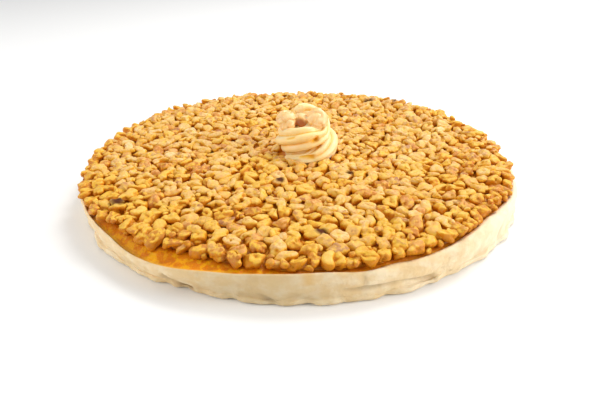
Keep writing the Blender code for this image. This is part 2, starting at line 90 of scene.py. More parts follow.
# Every relief is in layers of bumps: their size, their depth
DOUGH_RELIEF = ((0.017, 0.00040), (0.0065, 0.00020), (0.0024, 0.00007))
DOUGH_STRETCH = (1, 1, 1.5)                # the bumps are wider than they are high
RELIEF_FULL = 0.08         # share of the rim's height from which the relief is at full depth
RIM_SMOOTHER = 0.6         # share of the relief that is missing on the rim
SMOOTH_FROM = (0.9, 0.1)   # it goes missing from this share of the rim's height, over the next
FLAKE_DEPTH = 0.00045
FLAKE_SIZE = 0.0032
FLAKE_STRETCH = (0.30, 0.30, 2.2)          # flakes lie flat along the wall
FLAKY_AREAS = 0.020        # size of the areas that have flakes
CREASE_WANDER = (0.0009, 0.006)            # how far a crease strays, and over what distance
CREASE_ENDS = 0.15         # the square of what is left of a crease at its ends
CREASE_SHADE_DEPTH = 0.0018       # a crease this deep gets the darkest painted shade inside
# Creases in the wall: from (degrees, height) to (degrees, height), depth, width
CREASES = (
    ((8.0, 0.0080), (20.0, 0.0074), 0.0014, 0.0010),
    ((20.0, 0.0074), (28.0, 0.0040), 0.0016, 0.0011),
    ((-28.6, 0.0105), (-27.4, 0.0050), 0.0018, 0.0013),
    ((-28.0, 0.0060), (-23.0, 0.0008), 0.0028, 0.0021),
    ((-8.5, 0.0056), (-5.0, 0.0012), 0.0011, 0.0010),
    ((-20.5, 0.0156), (-20.0, 0.0130), 0.0007, 0.0007),
    ((-18.8, 0.0142), (-15.8, 0.0128), 0.0006, 0.0008),
    ((11.6, 0.0165), (12.2, 0.0095), 0.0007, 0.0009),
    ((54.6, 0.0110), (50.5, 0.0040), 0.0009, 0.0012),
    ((-62.0, 0.0090), (-52.0, 0.0060), 0.0008, 0.0012),
    ((96.0, 0.0100), (108.0, 0.0066), 0.0010, 0.0012),
    ((150.0, 0.0060), (163.0, 0.0085), 0.0010, 0.0012),
    ((-170.0, 0.0105), (-160.0, 0.0060), 0.0009, 0.0012),
    ((-118.0, 0.0052), (-104.0, 0.0072), 0.0010, 0.0011),
)

# Looks of the dough around the cake, as bumps: painted shade that darkens the front of the wall, and painted
# light that makes the sides facing the side lamps paler
FRONT_SHADE_DOUGH = ((-9, 0.8, 15),)
LIT_SIDES_DOUGH = ((64, 0.75, 26), (-58, 0.25, 12))
SOAKED_FROM = (0.70, 0.30)     # honey soaks in from this share of the rim's height, over the next
SOAKED_RIM = (0.6, 0.9, 0.011)             # how soaked the rim is: middle, spread, size of the areas
# A drip of honey: direction and half-width in degrees, lowest point, length of its faint end
DRIP = (1.0, 1.2, 0.0118, 0.002)
RIM_BAND = 0.0020          # honey has soaked into the rim this far from its inside, and further by
RIM_HONEY = ((-58, 0.0034, 26), (4, 0.0010, 8), (40, 0.0008, 12), (150, 0.0014, 30))

# Honey filling
GAP = 0.0003
SIDE_GAP = 0.0001
FILLING_TOP = 0.0166
FILLING_SINK = 0.0008
FILLING_SLOPE = 0.0046     # how far in from its edge it reaches its full height
BARE_SLOPE = 0.6           # and in a bare patch by this share of the patch further in
FILLING_RELIEF = ((0.0060, 0.00030), (0.0026, 0.00022), (0.0012, 0.00008))
FILLING_SMOOTH = 0.0012    # its relief fades out over this distance to its edge
FILLING_RINGS = 26
RING_SPREAD = 1.15         # 1 for even rings, more for closer ones along the edge
STRIP = 0.034              # how far in from its edge the filling is finely made
MIDDLE_RINGS = (0.6, 0.4, 0.2)             # shares of its radius, where the nuts hide it
YELLOW_EDGE = 0.0022       # how wide it is yellow along the rim
YELLOW_STRAYS = (0.0006, 0.004)            # how much that width varies, and over what distance
NUT_SHADOW_REACH = 0.004         # over this distance a painted shadow darkens it below the nuts
NUT_SHADOW_STRAYS = (0.25, 0.005)               # how much that painted shadow varies, and over what distance

# Nut topping
OVERHANG = 0.0012
BARE_PATCHES = ((-27, 0.0108, 12), (-47, 0.0044, 8), (-8, 0.0026, 7), (150, 0.0020, 12))
BED_TOP = 0.0184           # the dark glaze that the nuts stick in
BED_FILLS = 0.0007         # the glaze creeps up between the nuts by this much
BED_INSET = 0.0040         # the glaze ends this far inside the nuts
BED_UNEVEN = 0.0016
BED_SLOPE = 0.009          # it falls to the filling over this distance
BED_FOOT = (0.0004, 0.0001)    # its edge turns in and down this far, into the filling
BED_RELIEF = ((0.0040, 0.00045), (0.0018, 0.00016))
BED_SMOOTH = 0.004         # its relief fades out over this distance to its edge
BED_RINGS = 56
UNDER_CREAM = (0.0002, 0.003)  # the glaze rises into the cream this far, over this distance
HEAP_TOP = 0.0247          # no nut is laid higher than this, or than less along the edge
HEAP_EDGE_TOP = 0.0232
HEAP_SLOPE = 0.011
BACK_RISES = ((140, 0.0028, 34), (-140, 0.0030, 28))       # the heap stands higher along the back
RISE_FROM = (0.5, 0.4)     # it rises from this share of the way to its edge, over the next
CELL = 0.0006              # of the height map that the nuts are laid on
MAP_HALF = 0.150
SEED = 29

# Each kind: how many, half-length, half-width and half-height (least and most), chipped sides,
# bites out of it, sharpness of its edges, depth of its relief, share with skin
Kind = namedtuple("Kind", "count lengths widths heights chips bites sharpness rough skinned")
NUT_KINDS = {
    "chopped_nuts": Kind(350, (0.0037, 0.0060), (0.0031, 0.0049), (0.0023, 0.0035), 9, 4, 13, 2.2, 0.20),
    "broken_nuts": Kind(350, (0.0043, 0.0068), (0.0032, 0.0047), (0.0024, 0.0034), 7, 5, 12, 2.5, 0.22),
    "peanut_halves": Kind(120, (0.0046, 0.0058), (0.0034, 0.0042), (0.0022, 0.0029), 2, 1, 7, 1.0, 0.10),
    "nut_slivers": Kind(110, (0.0050, 0.0068), (0.0025, 0.0033), (0.0021, 0.0029), 5, 2, 11, 1.9, 0.18),
    "cashew_pieces": Kind(60, (0.0054, 0.0066), (0.0024, 0.0029), (0.0023, 0.0028), 2, 1, 7, 1.2, 0.05),
    "walnut_chunks": Kind(120, (0.0046, 0.0066), (0.0035, 0.0048), (0.0026, 0.0035), 5, 4, 9, 3.2, 0.60),
    "nut_crumbs": Kind(500, (0.0014, 0.0031), (0.0012, 0.0024), (0.0010, 0.0018), 4, 2, 10, 1.2, 0.14),
}
# Flesh: pale, tan and skin colours, how much skin
NUT_FLESH = {
    "peanut_flesh": ((0.90, 0.63, 0.29), (0.86, 0.52, 0.15), (0.46, 0.17, 0.07), 0.44),
    "chopped_flesh": ((0.90, 0.61, 0.26), (0.84, 0.49, 0.13), (0.44, 0.16, 0.06), 0.46),
    "cashew_flesh": ((0.92, 0.67, 0.33), (0.88, 0.56, 0.19), (0.50, 0.20, 0.10), 0.40),
    "walnut_flesh": ((0.90, 0.59, 0.24), (0.78, 0.43, 0.12), (0.40, 0.15, 0.08), 0.52),
}
FLESH_OF = {"peanut_halves": "peanut_flesh", "cashew_pieces": "cashew_flesh", "walnut_chunks": "walnut_flesh"}

# Laying the nuts
UPPER_SHARE = 0.42         # of the nuts are laid in a second layer
ALIKE = 0.7                # how far a nut's length, width and height go together
EDGE_SHARE = 0.13          # of the nuts are laid along the edge, in a band this wide
EDGE_BAND = 0.0030
INSIDE_EDGE = 0.66         # of its half-length, a nut's middle stays inside the edge
RIM_NEAR = 0.0008          # nuts rest on the rim from this far inside it
PLACES = 18                # places to choose the lowest of, for each try
TRIES = 6
FEELERS = 0.7              # a nut feels the ground at this share of its half-length
HIGHEST_COUNTS = 0.25      # how much the highest of these points counts, besides their mean
LEANS = 0.7                # how far it leans with the slope of the ground
LEAN_MOST = 0.4
LEAN_STRAYS = 0.26
UNDERSIDE = 0.12           # how far in its underside counts: at 0 all of it does
PRESSED_IN = 0.66          # 1 for nuts that rest on single points, less for ones that sink in
COVERED = 0.0004           # a nut shows where nothing lies higher above it than this
OUT_OF_SIGHT = 0.10        # a nut that shows less of itself is left out, but not near the edge
ALWAYS_KEPT = 0.010

# Shapes of the nuts, as shares of their sizes, with least and most
BLUNT = 3.2                # 2 for egg-shaped nuts, more for blocky ones
CHIP_REACH = (0.58, 0.96)
BITE_DEPTH = (0.15, 0.50)
BITE_SPREAD = (0.03, 0.13)
FLAT_SIDE = 0.30           # how far the flat side of a peanut half lies below its middle
FLAT_SIDE_UP = 0.42        # of the peanut halves
PEANUT_GROOVE = (0.00045, 0.16)            # depth in metres, half-width
CASHEW_CURVE = 0.62
CASHEW_TIPS = 0.10         # how much thinner a cashew is at its tips
CASHEW_BOX = (0.85, 1.35, 1.0)
BEND = 0.45
TAPER = 0.14
FULL_SIZE = 2.06           # from side to side, in half-sizes
NUT_RELIEF = ((0.0031, 0.00034), (0.0017, 0.00016))
NUTS_APART = 0.05          # from one nut to the next in the relief, so that no two are alike
CRAGGY_FROM = 2            # nuts with a deeper relief than this have clefts, and lower bumps
CRAGGY_BUMPS = 0.8
CLEFT_DEPTH = 0.00028
CLEFT_SIZE = 0.0034
CLEFT_NARROW = 3.5
PIT_DEPTH = 0.0007         # a pit this deep holds the most honey and painted shade

# Looks of the nuts
HONEY_BLURS = (4, 9)       # honey, with painted shade below it, stands as high as the heap blurred over so many cells
HONEY_ABOVE = 0.0004       # and this much higher
HONEY_AND_SHADE_DEPTH = 0.0050        # this far below that top a nut is in deep honey and at its darkest painted shade
TONE = (0.36, 0.38)        # of the flesh, from pale to tan: middle and spread
TONE_PATCH = (0.5, 0.014)  # strength and size of the areas of one tone
SOAKED_PATCH = (1.6, 0.012)
SOAKED_SPREAD = 0.2        # from nut to nut
SKIN_RANGE = (0.4, 1.0)    # how much skin a nut has that has some
BROWN_RANGE = (0.35, 0.9)  # how brown a nut is that is brown
SPOT_BROWN = 0.95          # and at one of the spots below
BURNT_FROM = 1.5           # a burnt spot fades out at its reach times this
SOAKED_EDGE = 0.024        # the outer nuts are soaked in honey over this distance
EDGE_SHADE_AND_BROWN = 0.016          # and over this one their sides get painted shade, and more of them are brown
TO_FRONT = (0.40, 0.72)    # how much more tan and honeyed the nuts are at the front: painted shade on the front of the heap
BROWN_SHARE = (0.13, 0.36)     # of the nuts, in the middle and along the edge
# How many more are brown along the front edge, how wide that row is, and how far round it goes
FRONT_ROW = (0.38, 0.020, 1.6)
STEEP = (0.92, 0.85)       # sides that face up less than this hold honey and painted shade, fully this much further
# Honey with painted shade on steep sides, more of it along the edge, in pits and on soaked nuts
HONEY_AND_SHADE_ON = {"steep": 0.55, "edge": 0.75, "pits": 0.30, "soaked": 0.42}
# Burnt spots in the heap: place and reach
BURNT_SPOTS = (
    (-0.1040, 0.1000, 0.0036), (0.0836, 0.1040, 0.0044), (-0.1046, -0.0723, 0.0042),
    (0.0309, -0.0349, 0.0024), (0.0098, -0.1103, 0.0031), (0.0577, 0.1025, 0.0040),
    (-0.0128, -0.0464, 0.0025),
)
# Nuts with much skin: place and reach
SKIN_SPOTS = (
    (-0.0885, -0.0200, 0.007), (-0.0613, -0.0277, 0.007), (-0.0278, -0.0930, 0.006),
    (0.1290, -0.0460, 0.006), (-0.1030, -0.0940, 0.007), (-0.0576, -0.1083, 0.006),
    (0.0985, -0.0844, 0.006), (0.0620, 0.0150, 0.006),
)
# Nuts roasted browner than the rest: place and reach
BROWN_SPOTS = (
    (0.0491, -0.0829, 0.005), (0.0606, -0.0810, 0.004), (0.0659, -0.0961, 0.004),
    (0.1058, -0.0306, 0.007), (0.1010, -0.0801, 0.006), (0.0369, -0.0676, 0.004),
    (0.1181, -0.0617, 0.006), (0.0577, -0.1055, 0.005), (0.0521, -0.1084, 0.004),
    (0.0533, -0.0135, 0.006), (0.0779, 0.0048, 0.005), (-0.0921, -0.1074, 0.006),
    (-0.1030, -0.0965, 0.006), (-0.0624, -0.1084, 0.006), (-0.0527, -0.1204, 0.006),
    (-0.0412, -0.1255, 0.005), (-0.0337, -0.1275, 0.005), (-0.0321, -0.0880, 0.006),
    (-0.0794, -0.1016, 0.004), (-0.0885, -0.0200, 0.006), (-0.0730, -0.0242, 0.006),
    (-0.0613, -0.0277, 0.006), (-0.1307, -0.0135, 0.007), (-0.0980, 0.0078, 0.006),
    (0.1290, -0.0460, 0.006),
)

# Cream rosette
ROSETTE_PLACE = (0.0045, 0.0010)
ROSETTE_BASE = 0.0199
ROSETTE_RADIUS = 0.0213
# The piped rope, from its tail on: direction of its middle in degrees, how far out it lies,
# its radius, the height of its middle above the base
ROPE_STATIONS = (
    (222, 0.0186, 0.0023, 0.0022),
    (245, 0.0178, 0.0030, 0.0028),
    (270, 0.0172, 0.0038, 0.0036),
    (300, 0.0154, 0.0058, 0.0052),
    (330, 0.0134, 0.0078, 0.0072),
    (360, 0.0124, 0.0083, 0.0084),
    (450, 0.0124, 0.0082, 0.0100),
    (540, 0.0128, 0.0080, 0.0118),
    (585, 0.0126, 0.0078, 0.0140),
    (630, 0.0118, 0.0074, 0.0156),
    (660, 0.0118, 0.0060, 0.0156),
    (682, 0.0124, 0.0046, 0.0162),
    (705, 0.0116, 0.0040, 0.0184),
    (745, 0.0108, 0.0046, 0.0226),
    (810, 0.0106, 0.0056, 0.0264),
    (835, 0.0100, 0.0052, 0.0266),
)
TAIL_TIP = 0.0030          # the tail goes on this far to its tip, and the other end this way
END_TIP = (-0.0046, 0.0, 0.0022)
TIP_SIZE = 0.15            # how blunt both ends of the rope are
ROPE_RIDGES = 6
RIDGE_REACH = (1.12, 0.68)     # ridges and grooves, as shares of the rope's radius
RIDGE_ROUND = 0.75         # 1 for plain waves, less for fuller ridges with narrow grooves
ROPE_TWIST = math.radians(165)             # over a whole turn round the rosette
ROPE_PHASE = math.radians(24)
ROPE_STEPS = 300
ROPE_SIDES = 96
# The cream inside the swirl: radius, how far back, height above the base
HEART = (
    (0.0150, 0.0, 0.0), (0.0150, 0.0, 0.0070), (0.0118, 0.0010, 0.0160), (0.0070, 0.0056, 0.0268),
)
HEART_SIDES = 48
# Hollows in the cream: from, to, how far it is pressed in, half-width, how much painted shade it gets
HOLLOWS = (
    ((0.0104, -0.0156, 0.0370), (0.0056, -0.0152, 0.0330), (0.0, 0.0032, -0.0008), 0.0017, 0.9),
    ((0.0000, -0.0190, 0.0262), (0.0080, -0.0194, 0.0258), (0.0, 0.0022, 0.0), 0.0015, 1.0),
    ((-0.0100, -0.0150, 0.0378), (-0.0040, -0.0160, 0.0386), (0.0, 0.0010, -0.0010), 0.0013, 0.7),
)
CREAM_VOXEL = 0.00046
# Nuts reach in under the cream, and further before its tail, in a direction and over an angle
CREAM_OVERLAP = 0.0026
TAIL_OVERLAP = 0.0032
TAIL_GAP = math.radians(196)
TAIL_SPREAD = 0.8

# Walnut half
WALNUT_PLACE = (0.0040, -0.0016, 0.0442)
WALNUT_TILT = math.radians(30)
# Its lobes and the bridge between them: place, size, turn in degrees, fineness, seed
WALNUT_LUMPS = (
    ((-0.0034, 0.0022, -0.0006), (0.0072, 0.0054, 0.0032), 0, 12, 100),
    ((-0.0128, -0.0010, -0.0006), (0.0066, 0.0084, 0.0052), -14, 26, 110),
    ((0.0080, 0.0, 0.0), (0.0084, 0.0088, 0.0053), 10, 26, 120),
)
WALNUT_FURROWS = (0.19, 0.55, 1.7)         # depth, size and narrowness, in a lobe of radius 1
WALNUT_SWELLS = (0.20, 0.8)                # height and size, in a lobe of radius 1
WALNUT_SHADE_PLACE = (0.0006, 0.0000, 0.0420)   # the painted shade in the dip between the lobes
WALNUT_SHADE_SIZE = (0.0068, 0.0110, 0.0070)
FURROW_SHADE = 0.8          # how much painted shade a furrow gets
WALNUT_VOXEL = 0.00032
SHADED_DIP_DEPTH = 0.00045      # a dip this deep gets the darkest painted shade, in the cream and the walnut

# Light: the weakest and strongest of the sky, and where it is strongest
SKY = (0.40, 0.92)
SKY_BRIGHTEST = (0.25, 0.45, 0.80)
# Each lamp: place, what it faces, size, watts, colour
LAMPS = {
    "key": ((0.45, 0.50, 0.95), (0.0, 0.0, 0.0), 0.60, 7.4, (1.0, 0.985, 0.96)),
    "side": ((1.0, -0.30, 0.40), (0.0, 0.0, 0.01), 0.50, 6.6, (1.0, 1.0, 1.0)),
    "left": ((-1.0, -0.35, 0.40), (0.0, 0.0, 0.01), 0.60, 4.8, (1.0, 1.0, 1.0)),
}
GROUND_HALF = 3.0          # of the floor under the cake
GROUND_DROP = 0.0001

# Camera, as read from the outlines of the cake in a picture of 600 by 400
PICTURE_WIDTH = 600
CAMERA_AWAY = 0.39955
CAMERA_ELEVATION = 0.4403
CAMERA_PITCH = -0.0338
CAMERA_YAW = -0.0024
CAMERA_ROLL = -0.0180
FOCAL_PIXELS = 568.23
SENSOR = 36.0


# Relief and shapes around the cake

def lattice(corner, seed):
    """A repeatable random number from -1 to 1 for each corner of a unit grid."""
    mixed = corner[..., 0] * 374761393 + corner[..., 1] * 668265263 + corner[..., 2] * 1103515245
    mixed = (mixed + seed * 974634777) & 0xFFFFFFFF
    mixed = ((mixed ^ (mixed >> 13)) * 1274126177) & 0xFFFFFFFF
    return ((mixed ^ (mixed >> 16)) & 0xFFFF) / 32767.5 - 1.0


def relief(points, size, seed):
    """Smooth random relief from -1 to 1, with bumps about as wide as size."""
    spot = np.asarray(points) / size
    low = np.floor(spot).astype(np.int64)
    part = spot - low
    part = part * part * (3 - 2 * part)
    total = np.zeros(spot.shape[:-1])
    for corner in itertools.product((0, 1), repeat=3):
        share = np.prod(np.where(np.array(corner, bool), part, 1 - part), axis=-1)
        total += share * lattice(low + np.array(corner), seed)
    return total


def layered(points, layers, seed):
    """Relief in layers, each of (size of the bumps, their depth)."""
    return sum(depth * relief(points, size, seed + i) for i, (size, depth) in enumerate(layers))


def smooth_step(value):
    value = np.clip(value, 0.0, 1.0)
    return value * value * (3 - 2 * value)


TURN = np.arange(DIRECTIONS) * math.tau / DIRECTIONS
FROM_FRONT = (np.degrees(TURN) + 270) % 360 - 180


def bumps(table):
    """The sum of a table's smooth bumps in every direction."""
    total = np.zeros(DIRECTIONS)
    for centre, size, half_width in table:
        away = (FROM_FRONT - centre + 180) % 360 - 180
        total += size * np.exp(-((away / half_width) ** 2))
    return total


def uneven(size, layer, waves=7):
    """Hand-made unevenness in every direction, its own for each layer."""
    spots = [Vector((math.cos(a) * waves, math.sin(a) * waves, layer * 3.7)) for a in TURN]
    return size * np.array([noise.noise(spot) for spot in spots])


RIM_TOP = RIM_HEIGHT + bumps(RIM_WAVES) + uneven(RIM_UNEVEN, 1)
INNER = RIM_RADIUS - RIM_LEAN * np.cos(TURN) + bumps(RIM_BULGES) + uneven(EDGE_UNEVEN, 2)
SHOULDER = (SHOULDER_RADIUS - SHOULDER_LEAN * np.cos(TURN) + bumps(SHOULDER_BULGES)
            + uneven(EDGE_UNEVEN, 3))
FOOT = FOOT_RADIUS + uneven(FOOT_UNEVEN, 4)
FLOOR_EDGE = np.minimum(FOOT - WALL, INNER - GAP)
NUT_EDGE = INNER + OVERHANG - bumps(BARE_PATCHES)


def in_direction(values, angle):
    """A shape around the cake, read at any angle."""
    return np.interp(np.mod(angle, math.tau), np.append(TURN, math.tau), np.append(values, values[0]))


def inside_nut_edge(x, y):
    """How far a place lies inside the edge of the heap of nuts."""
    return in_direction(NUT_EDGE, np.arctan2(y, x)) - np.hypot(x, y)


def from_rosette(x, y):
    return np.hypot(x - ROSETTE_PLACE[0], y - ROSETTE_PLACE[1])


def ring(radius, height):
    """Points all round the cake, from radii and heights in every direction."""
    height = height + np.zeros(DIRECTIONS)
    return np.stack([radius * np.cos(TURN), radius * np.sin(TURN), height], axis=-1)


# Meshes

def add_marks(mesh, marks):
    """Stores a number per point of a mesh for each named mark, for its material to read."""
    for name, values in marks.items():
        attribute = mesh.attributes.new(name, "FLOAT", "POINT")
        attribute.data.foreach_set("value", np.asarray(values, np.float32))


def new_piece(name, points, faces, material, marks=None):
    """A smooth mesh of triangles in the cake's frame."""
    mesh = bpy.data.meshes.new(name)
    mesh.vertices.add(len(points))
    mesh.vertices.foreach_set("co", np.asarray(points, np.float32).ravel())
    mesh.loops.add(faces.size)
    mesh.loops.foreach_set("vertex_index", np.asarray(faces, np.int32).ravel())
    mesh.polygons.add(len(faces))
    mesh.polygons.foreach_set("loop_start", np.arange(0, faces.size, 3, dtype=np.int32))
    mesh.update()
    mesh.validate()
    mesh.shade_smooth()
    mesh.materials.append(material)
    add_marks(mesh, marks or {})
    piece = bpy.data.objects.new(name, mesh)
    bpy.context.scene.collection.objects.link(piece)
    return piece


def settle_piece(piece, node_name):
    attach(piece, "root")
    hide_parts(node_name)


def mesh_points(mesh, kind="co"):
    """The places of a mesh's points, or their normals."""
    values = np.zeros(len(mesh.vertices) * 3, np.float32)
    mesh.vertices.foreach_get(kind, values)
    return values.reshape(-1, 3)


def ring_faces(rings, sides):
    """Triangles that join rings of points, each closed on itself."""
    low = np.arange((rings - 1) * sides).reshape(rings - 1, sides)
    right = np.roll(low, -1, axis=1)
    first = np.stack([low, right, right + sides], axis=-1)
    second = np.stack([low, right + sides, low + sides], axis=-1)
    return np.concatenate([first.reshape(-1, 3), second.reshape(-1, 3)])


def capped(grid):
    """Points and triangles of a closed solid through rings of points, bottom ring first, that
    run anticlockwise from above."""
    rings, sides = grid.shape[:2]
    ends = np.stack([grid[0].mean(axis=0), grid[-1].mean(axis=0)])
    points = np.concatenate([grid.reshape(-1, 3), ends])
    first = np.arange(sides)
    last = first + (rings - 1) * sides
    low_end = np.full(sides, rings * sides)
    bottom = np.stack([low_end, np.roll(first, -1), first], axis=-1)
    top = np.stack([low_end + 1, last, np.roll(last, -1)], axis=-1)
    return points, np.concatenate([ring_faces(rings, sides), bottom, top])


def outward(grid):
    """The direction that each point of a grid of rings faces."""
    around = np.roll(grid, -1, axis=1) - np.roll(grid, 1, axis=1)
    along = np.gradient(grid, axis=0)
    normal = np.cross(around, along)
    return normal / np.maximum(np.linalg.norm(normal, axis=-1, keepdims=True), 1e-12)


def rounded(sections, steps):
    """Rings on a smooth curve through the rings of a section, with steps to each next one."""
    padded = np.concatenate([sections[:1], sections, sections[-1:]])
    rings = []
    for i, count in enumerate(steps):
        before, start, end, after = padded[i:i + 4]
        for step in range(count):
            t = step / count
            curve = (2 * start + (end - before) * t + (2 * before - 5 * start + 4 * end - after) * t ** 2
                     + (3 * start - before - 3 * end + after) * t ** 3)
            rings.append(0.5 * curve)
    rings.append(sections[len(steps)])
    return np.array(rings)


def joined_by_voxels(name, parts, voxel, smoothing, material):
    """One closed mesh from several overlapping ones, softened where they meet."""
    shape = bmesh.new()
    for points, faces in parts:
        verts = [shape.verts.new(point) for point in points]
        for face in faces:
            if len(set(face)) == 3:
                shape.faces.new([verts[i] for i in face])
    mesh = bpy.data.meshes.new(name)
    shape.to_mesh(mesh)
    shape.free()
    piece = bpy.data.objects.new(name, mesh)
    bpy.context.scene.collection.objects.link(piece)
    remesh = piece.modifiers.new("Join", "REMESH")
    remesh.mode = "VOXEL"
    remesh.voxel_size = voxel
    soften = piece.modifiers.new("Soften", "SMOOTH")
    soften.factor = 0.5
    soften.iterations = smoothing
    piece.modifiers.new("Triangles", "TRIANGULATE")
    graph = bpy.context.evaluated_depsgraph_get()
    joined = bpy.data.meshes.new_from_object(piece.evaluated_get(graph))
    piece.modifiers.clear()
    piece.data = joined
    joined.shade_smooth()
    joined.materials.append(material)
    return piece


def grooves(mesh, passes=14):
    """How deep each point lies below its neighbourhood, 0 on a ridge and 1 deep in a dip, for the materials
    to paint shade by.
    """
    points = mesh_points(mesh)
    edges = np.zeros(len(mesh.edges) * 2, np.int32)
    mesh.edges.foreach_get("vertices", edges)
    edges = edges.reshape(-1, 2)
    links = np.bincount(edges.ravel(), minlength=len(points))[:, None]
    soft = points.astype(float)
    for _ in range(passes):
        total = np.zeros_like(soft)
        for axis in range(3):
            total[:, axis] += np.bincount(edges[:, 0], soft[edges[:, 1], axis], len(points))
            total[:, axis] += np.bincount(edges[:, 1], soft[edges[:, 0], axis], len(points))
        soft = total / links
    below = np.einsum("ij,ij->i", soft - points, mesh_points(mesh, "normal"))
    return np.clip(below / SHADED_DIP_DEPTH, 0, 1)


def round_ball(parts):
    """Points and triangles of an even ball: each edge of a 20-sided solid is cut into parts."""
    shape = bmesh.new()
    bmesh.ops.create_icosphere(shape, subdivisions=1, radius=1.0)
    corners = [[np.array(vert.co) for vert in face.verts] for face in shape.faces]
    shape.free()
    points, faces = [], []
    for a, b, c in corners:
        place = {}
        for i in range(parts + 1):
            for j in range(parts + 1 - i):
                place[i, j] = len(points)
                points.append((a * (parts - i - j) + b * i + c * j) / parts)
        for i in range(parts):
            for j in range(parts - i):
                faces.append((place[i, j], place[i + 1, j], place[i, j + 1]))
                if i + j < parts - 1:
                    faces.append((place[i + 1, j], place[i + 1, j + 1], place[i, j + 1]))
    points = np.array(points)
    _, kept, same = np.unique(points.round(5), axis=0, return_index=True, return_inverse=True)
    points = points[kept] / np.linalg.norm(points[kept], axis=1, keepdims=True)
    return points, same.reshape(-1)[np.array(faces)]


# Node helpers

def feed(tree, sockets, values):
    """Sets sockets to plain values, or links them to other nodes' outputs."""
    for label, value in values.items():
        if isinstance(value, bpy.types.NodeSocket):
            tree.links.new(value, sockets[label])
        else:
            sockets[label].default_value = value


def spaced(values):
    """Names of sockets with their spaces, which are underscores in a call."""
    return {label.replace("_", " "): value for label, value in values.items()}


def node(tree, kind, inputs=None, **settings):
    made = tree.nodes.new(kind)
    for name, value in settings.items():
        setattr(made, name, value)
    feed(tree, made.inputs, inputs or {})
    return made


def new_group(name, inputs, outputs):
    """An empty node group; inputs are (name, kind, value) and outputs (name, kind)."""
    group = bpy.data.node_groups.new(name, "ShaderNodeTree")
    for label, kind, value in inputs:
        socket = group.interface.new_socket(label, in_out="INPUT", socket_type="NodeSocket" + kind)
        socket.default_value = value
    for label, kind in outputs:
        group.interface.new_socket(label, in_out="OUTPUT", socket_type="NodeSocket" + kind)
    entry = group.nodes.new("NodeGroupInput")
    result = group.nodes.new("NodeGroupOutput")
    return group, entry.outputs, result.inputs


def placed(tree, group, **values):
    """The outputs of a group that is placed in a material."""
    return node(tree, "ShaderNodeGroup", spaced(values), node_tree=group).outputs


def opaque(colour):
    """A plain colour with its alpha. An output stays as it is."""
    return colour if isinstance(colour, bpy.types.NodeSocket) else (*colour, 1)


def colour_mix(tree, share, first, second):
    return node(tree, "ShaderNodeMix", {0: share, 6: opaque(first), 7: opaque(second)},
                data_type="RGBA").outputs[2]


def maths(tree, operation, first, second=0.0, third=0.0, clamp=False):
    return node(tree, "ShaderNodeMath", {0: first, 1: second, 2: third}, operation=operation,
                use_clamp=clamp).outputs[0]


def over(tree, colour, *layers):
    """Colours laid over a colour one after another. A layer is (mask, how much of it, colour)."""
    for mask, share, tint in layers:
        if share < 1:
            mask = maths(tree, "MULTIPLY", mask, share)
        colour = colour_mix(tree, mask, colour, tint)
    return colour


def ramp(tree, value, low, high):
    """Rises smoothly from 0 to 1 while the value goes from low to high."""
    return node(tree, "ShaderNodeMapRange", {"Value": value, "From Min": low, "From Max": high},
                interpolation_type="SMOOTHSTEP").outputs[0]


def clouds(tree, place, scale, detail, roughness=0.5):
    return node(tree, "ShaderNodeTexNoise", {"Vector": place, "Scale": scale, "Detail": detail,
                                             "Roughness": roughness}).outputs["Fac"]


def mark(tree, name):
    return node(tree, "ShaderNodeAttribute", attribute_name=name).outputs["Fac"]


def in_place(tree):
    return node(tree, "ShaderNodeTexCoord").outputs["Object"]


def soft_patches_group():
    """Soft irregular patches: 0 outside them, 1 inside."""
    group, entry, result = new_group(
        "soft_patches",
        (("Size", "Float", 0.01), ("Amount", "Float", 0.5), ("Softness", "Float", 0.1),
         ("Roughness", "Float", 0.5), ("Offset", "Float", 0.0)),
        (("Mask", "Float"),))
    scale = maths(group, "DIVIDE", 1.0, entry["Size"])
    moved = node(group, "ShaderNodeVectorMath", {0: in_place(group), 1: entry["Offset"]}, operation="ADD")
    cloudy = clouds(group, moved.outputs[0], scale, 3.0, entry["Roughness"])
    limit = maths(group, "SUBTRACT", 1.0, entry["Amount"])
    low = maths(group, "SUBTRACT", limit, entry["Softness"])
    high = maths(group, "ADD", limit, entry["Softness"])
    group.links.new(ramp(group, cloudy, low, high), result["Mask"])
    return group


def fine_grain_group():
    """Fine crumb for a Bump node: coarse and fine noise together, and a speckle mask."""
    group, entry, result = new_group(
        "fine_grain",
        (("Size", "Float", 0.001), ("Coarse", "Float", 0.6), ("Speckle", "Float", 0.6)),
        (("Height", "Float"), ("Specks", "Float")))
    scale = maths(group, "DIVIDE", 1.0, entry["Size"])
    place = in_place(group)
    fine = clouds(group, place, scale, 4.0, 0.6)
    coarse = clouds(group, place, maths(group, "MULTIPLY", scale, 0.27), 2.0)
    both = maths(group, "MULTIPLY_ADD", coarse, entry["Coarse"], fine)
    group.links.new(both, result["Height"])
    group.links.new(ramp(group, fine, entry["Speckle"], 0.80), result["Specks"])
    return group


def honey_coat_group():
    """Honey over a bare surface: a film in patches, and more and darker the deeper it lies, as pooled honey
    and painted shade.
    """
    group, entry, result = new_group(
        "honey_coat",
        (("Bare", "Color", (0.8, 0.6, 0.3, 1)), ("Honey", "Color", (0.6, 0.25, 0.03, 1)),
         ("Pooled", "Color", (0.2, 0.05, 0.005, 1)), ("Depth", "Float", 0.0), ("Film", "Float", 0.2)),
        (("Color", "Color"), ("Wet", "Float")))
    film = maths(group, "MULTIPLY", patches(group, 0.0036, 0.45, 0.10, 3.0), entry["Film"])
    wet = maths(group, "MAXIMUM", film, ramp(group, entry["Depth"], 0.12, 0.62))
    pooled = ramp(group, entry["Depth"], 0.45, 1.0)
    coated = colour_mix(group, wet, entry["Bare"], entry["Honey"])
    group.links.new(colour_mix(group, pooled, coated, entry["Pooled"]), result["Color"])
    group.links.new(wet, result["Wet"])
    return group


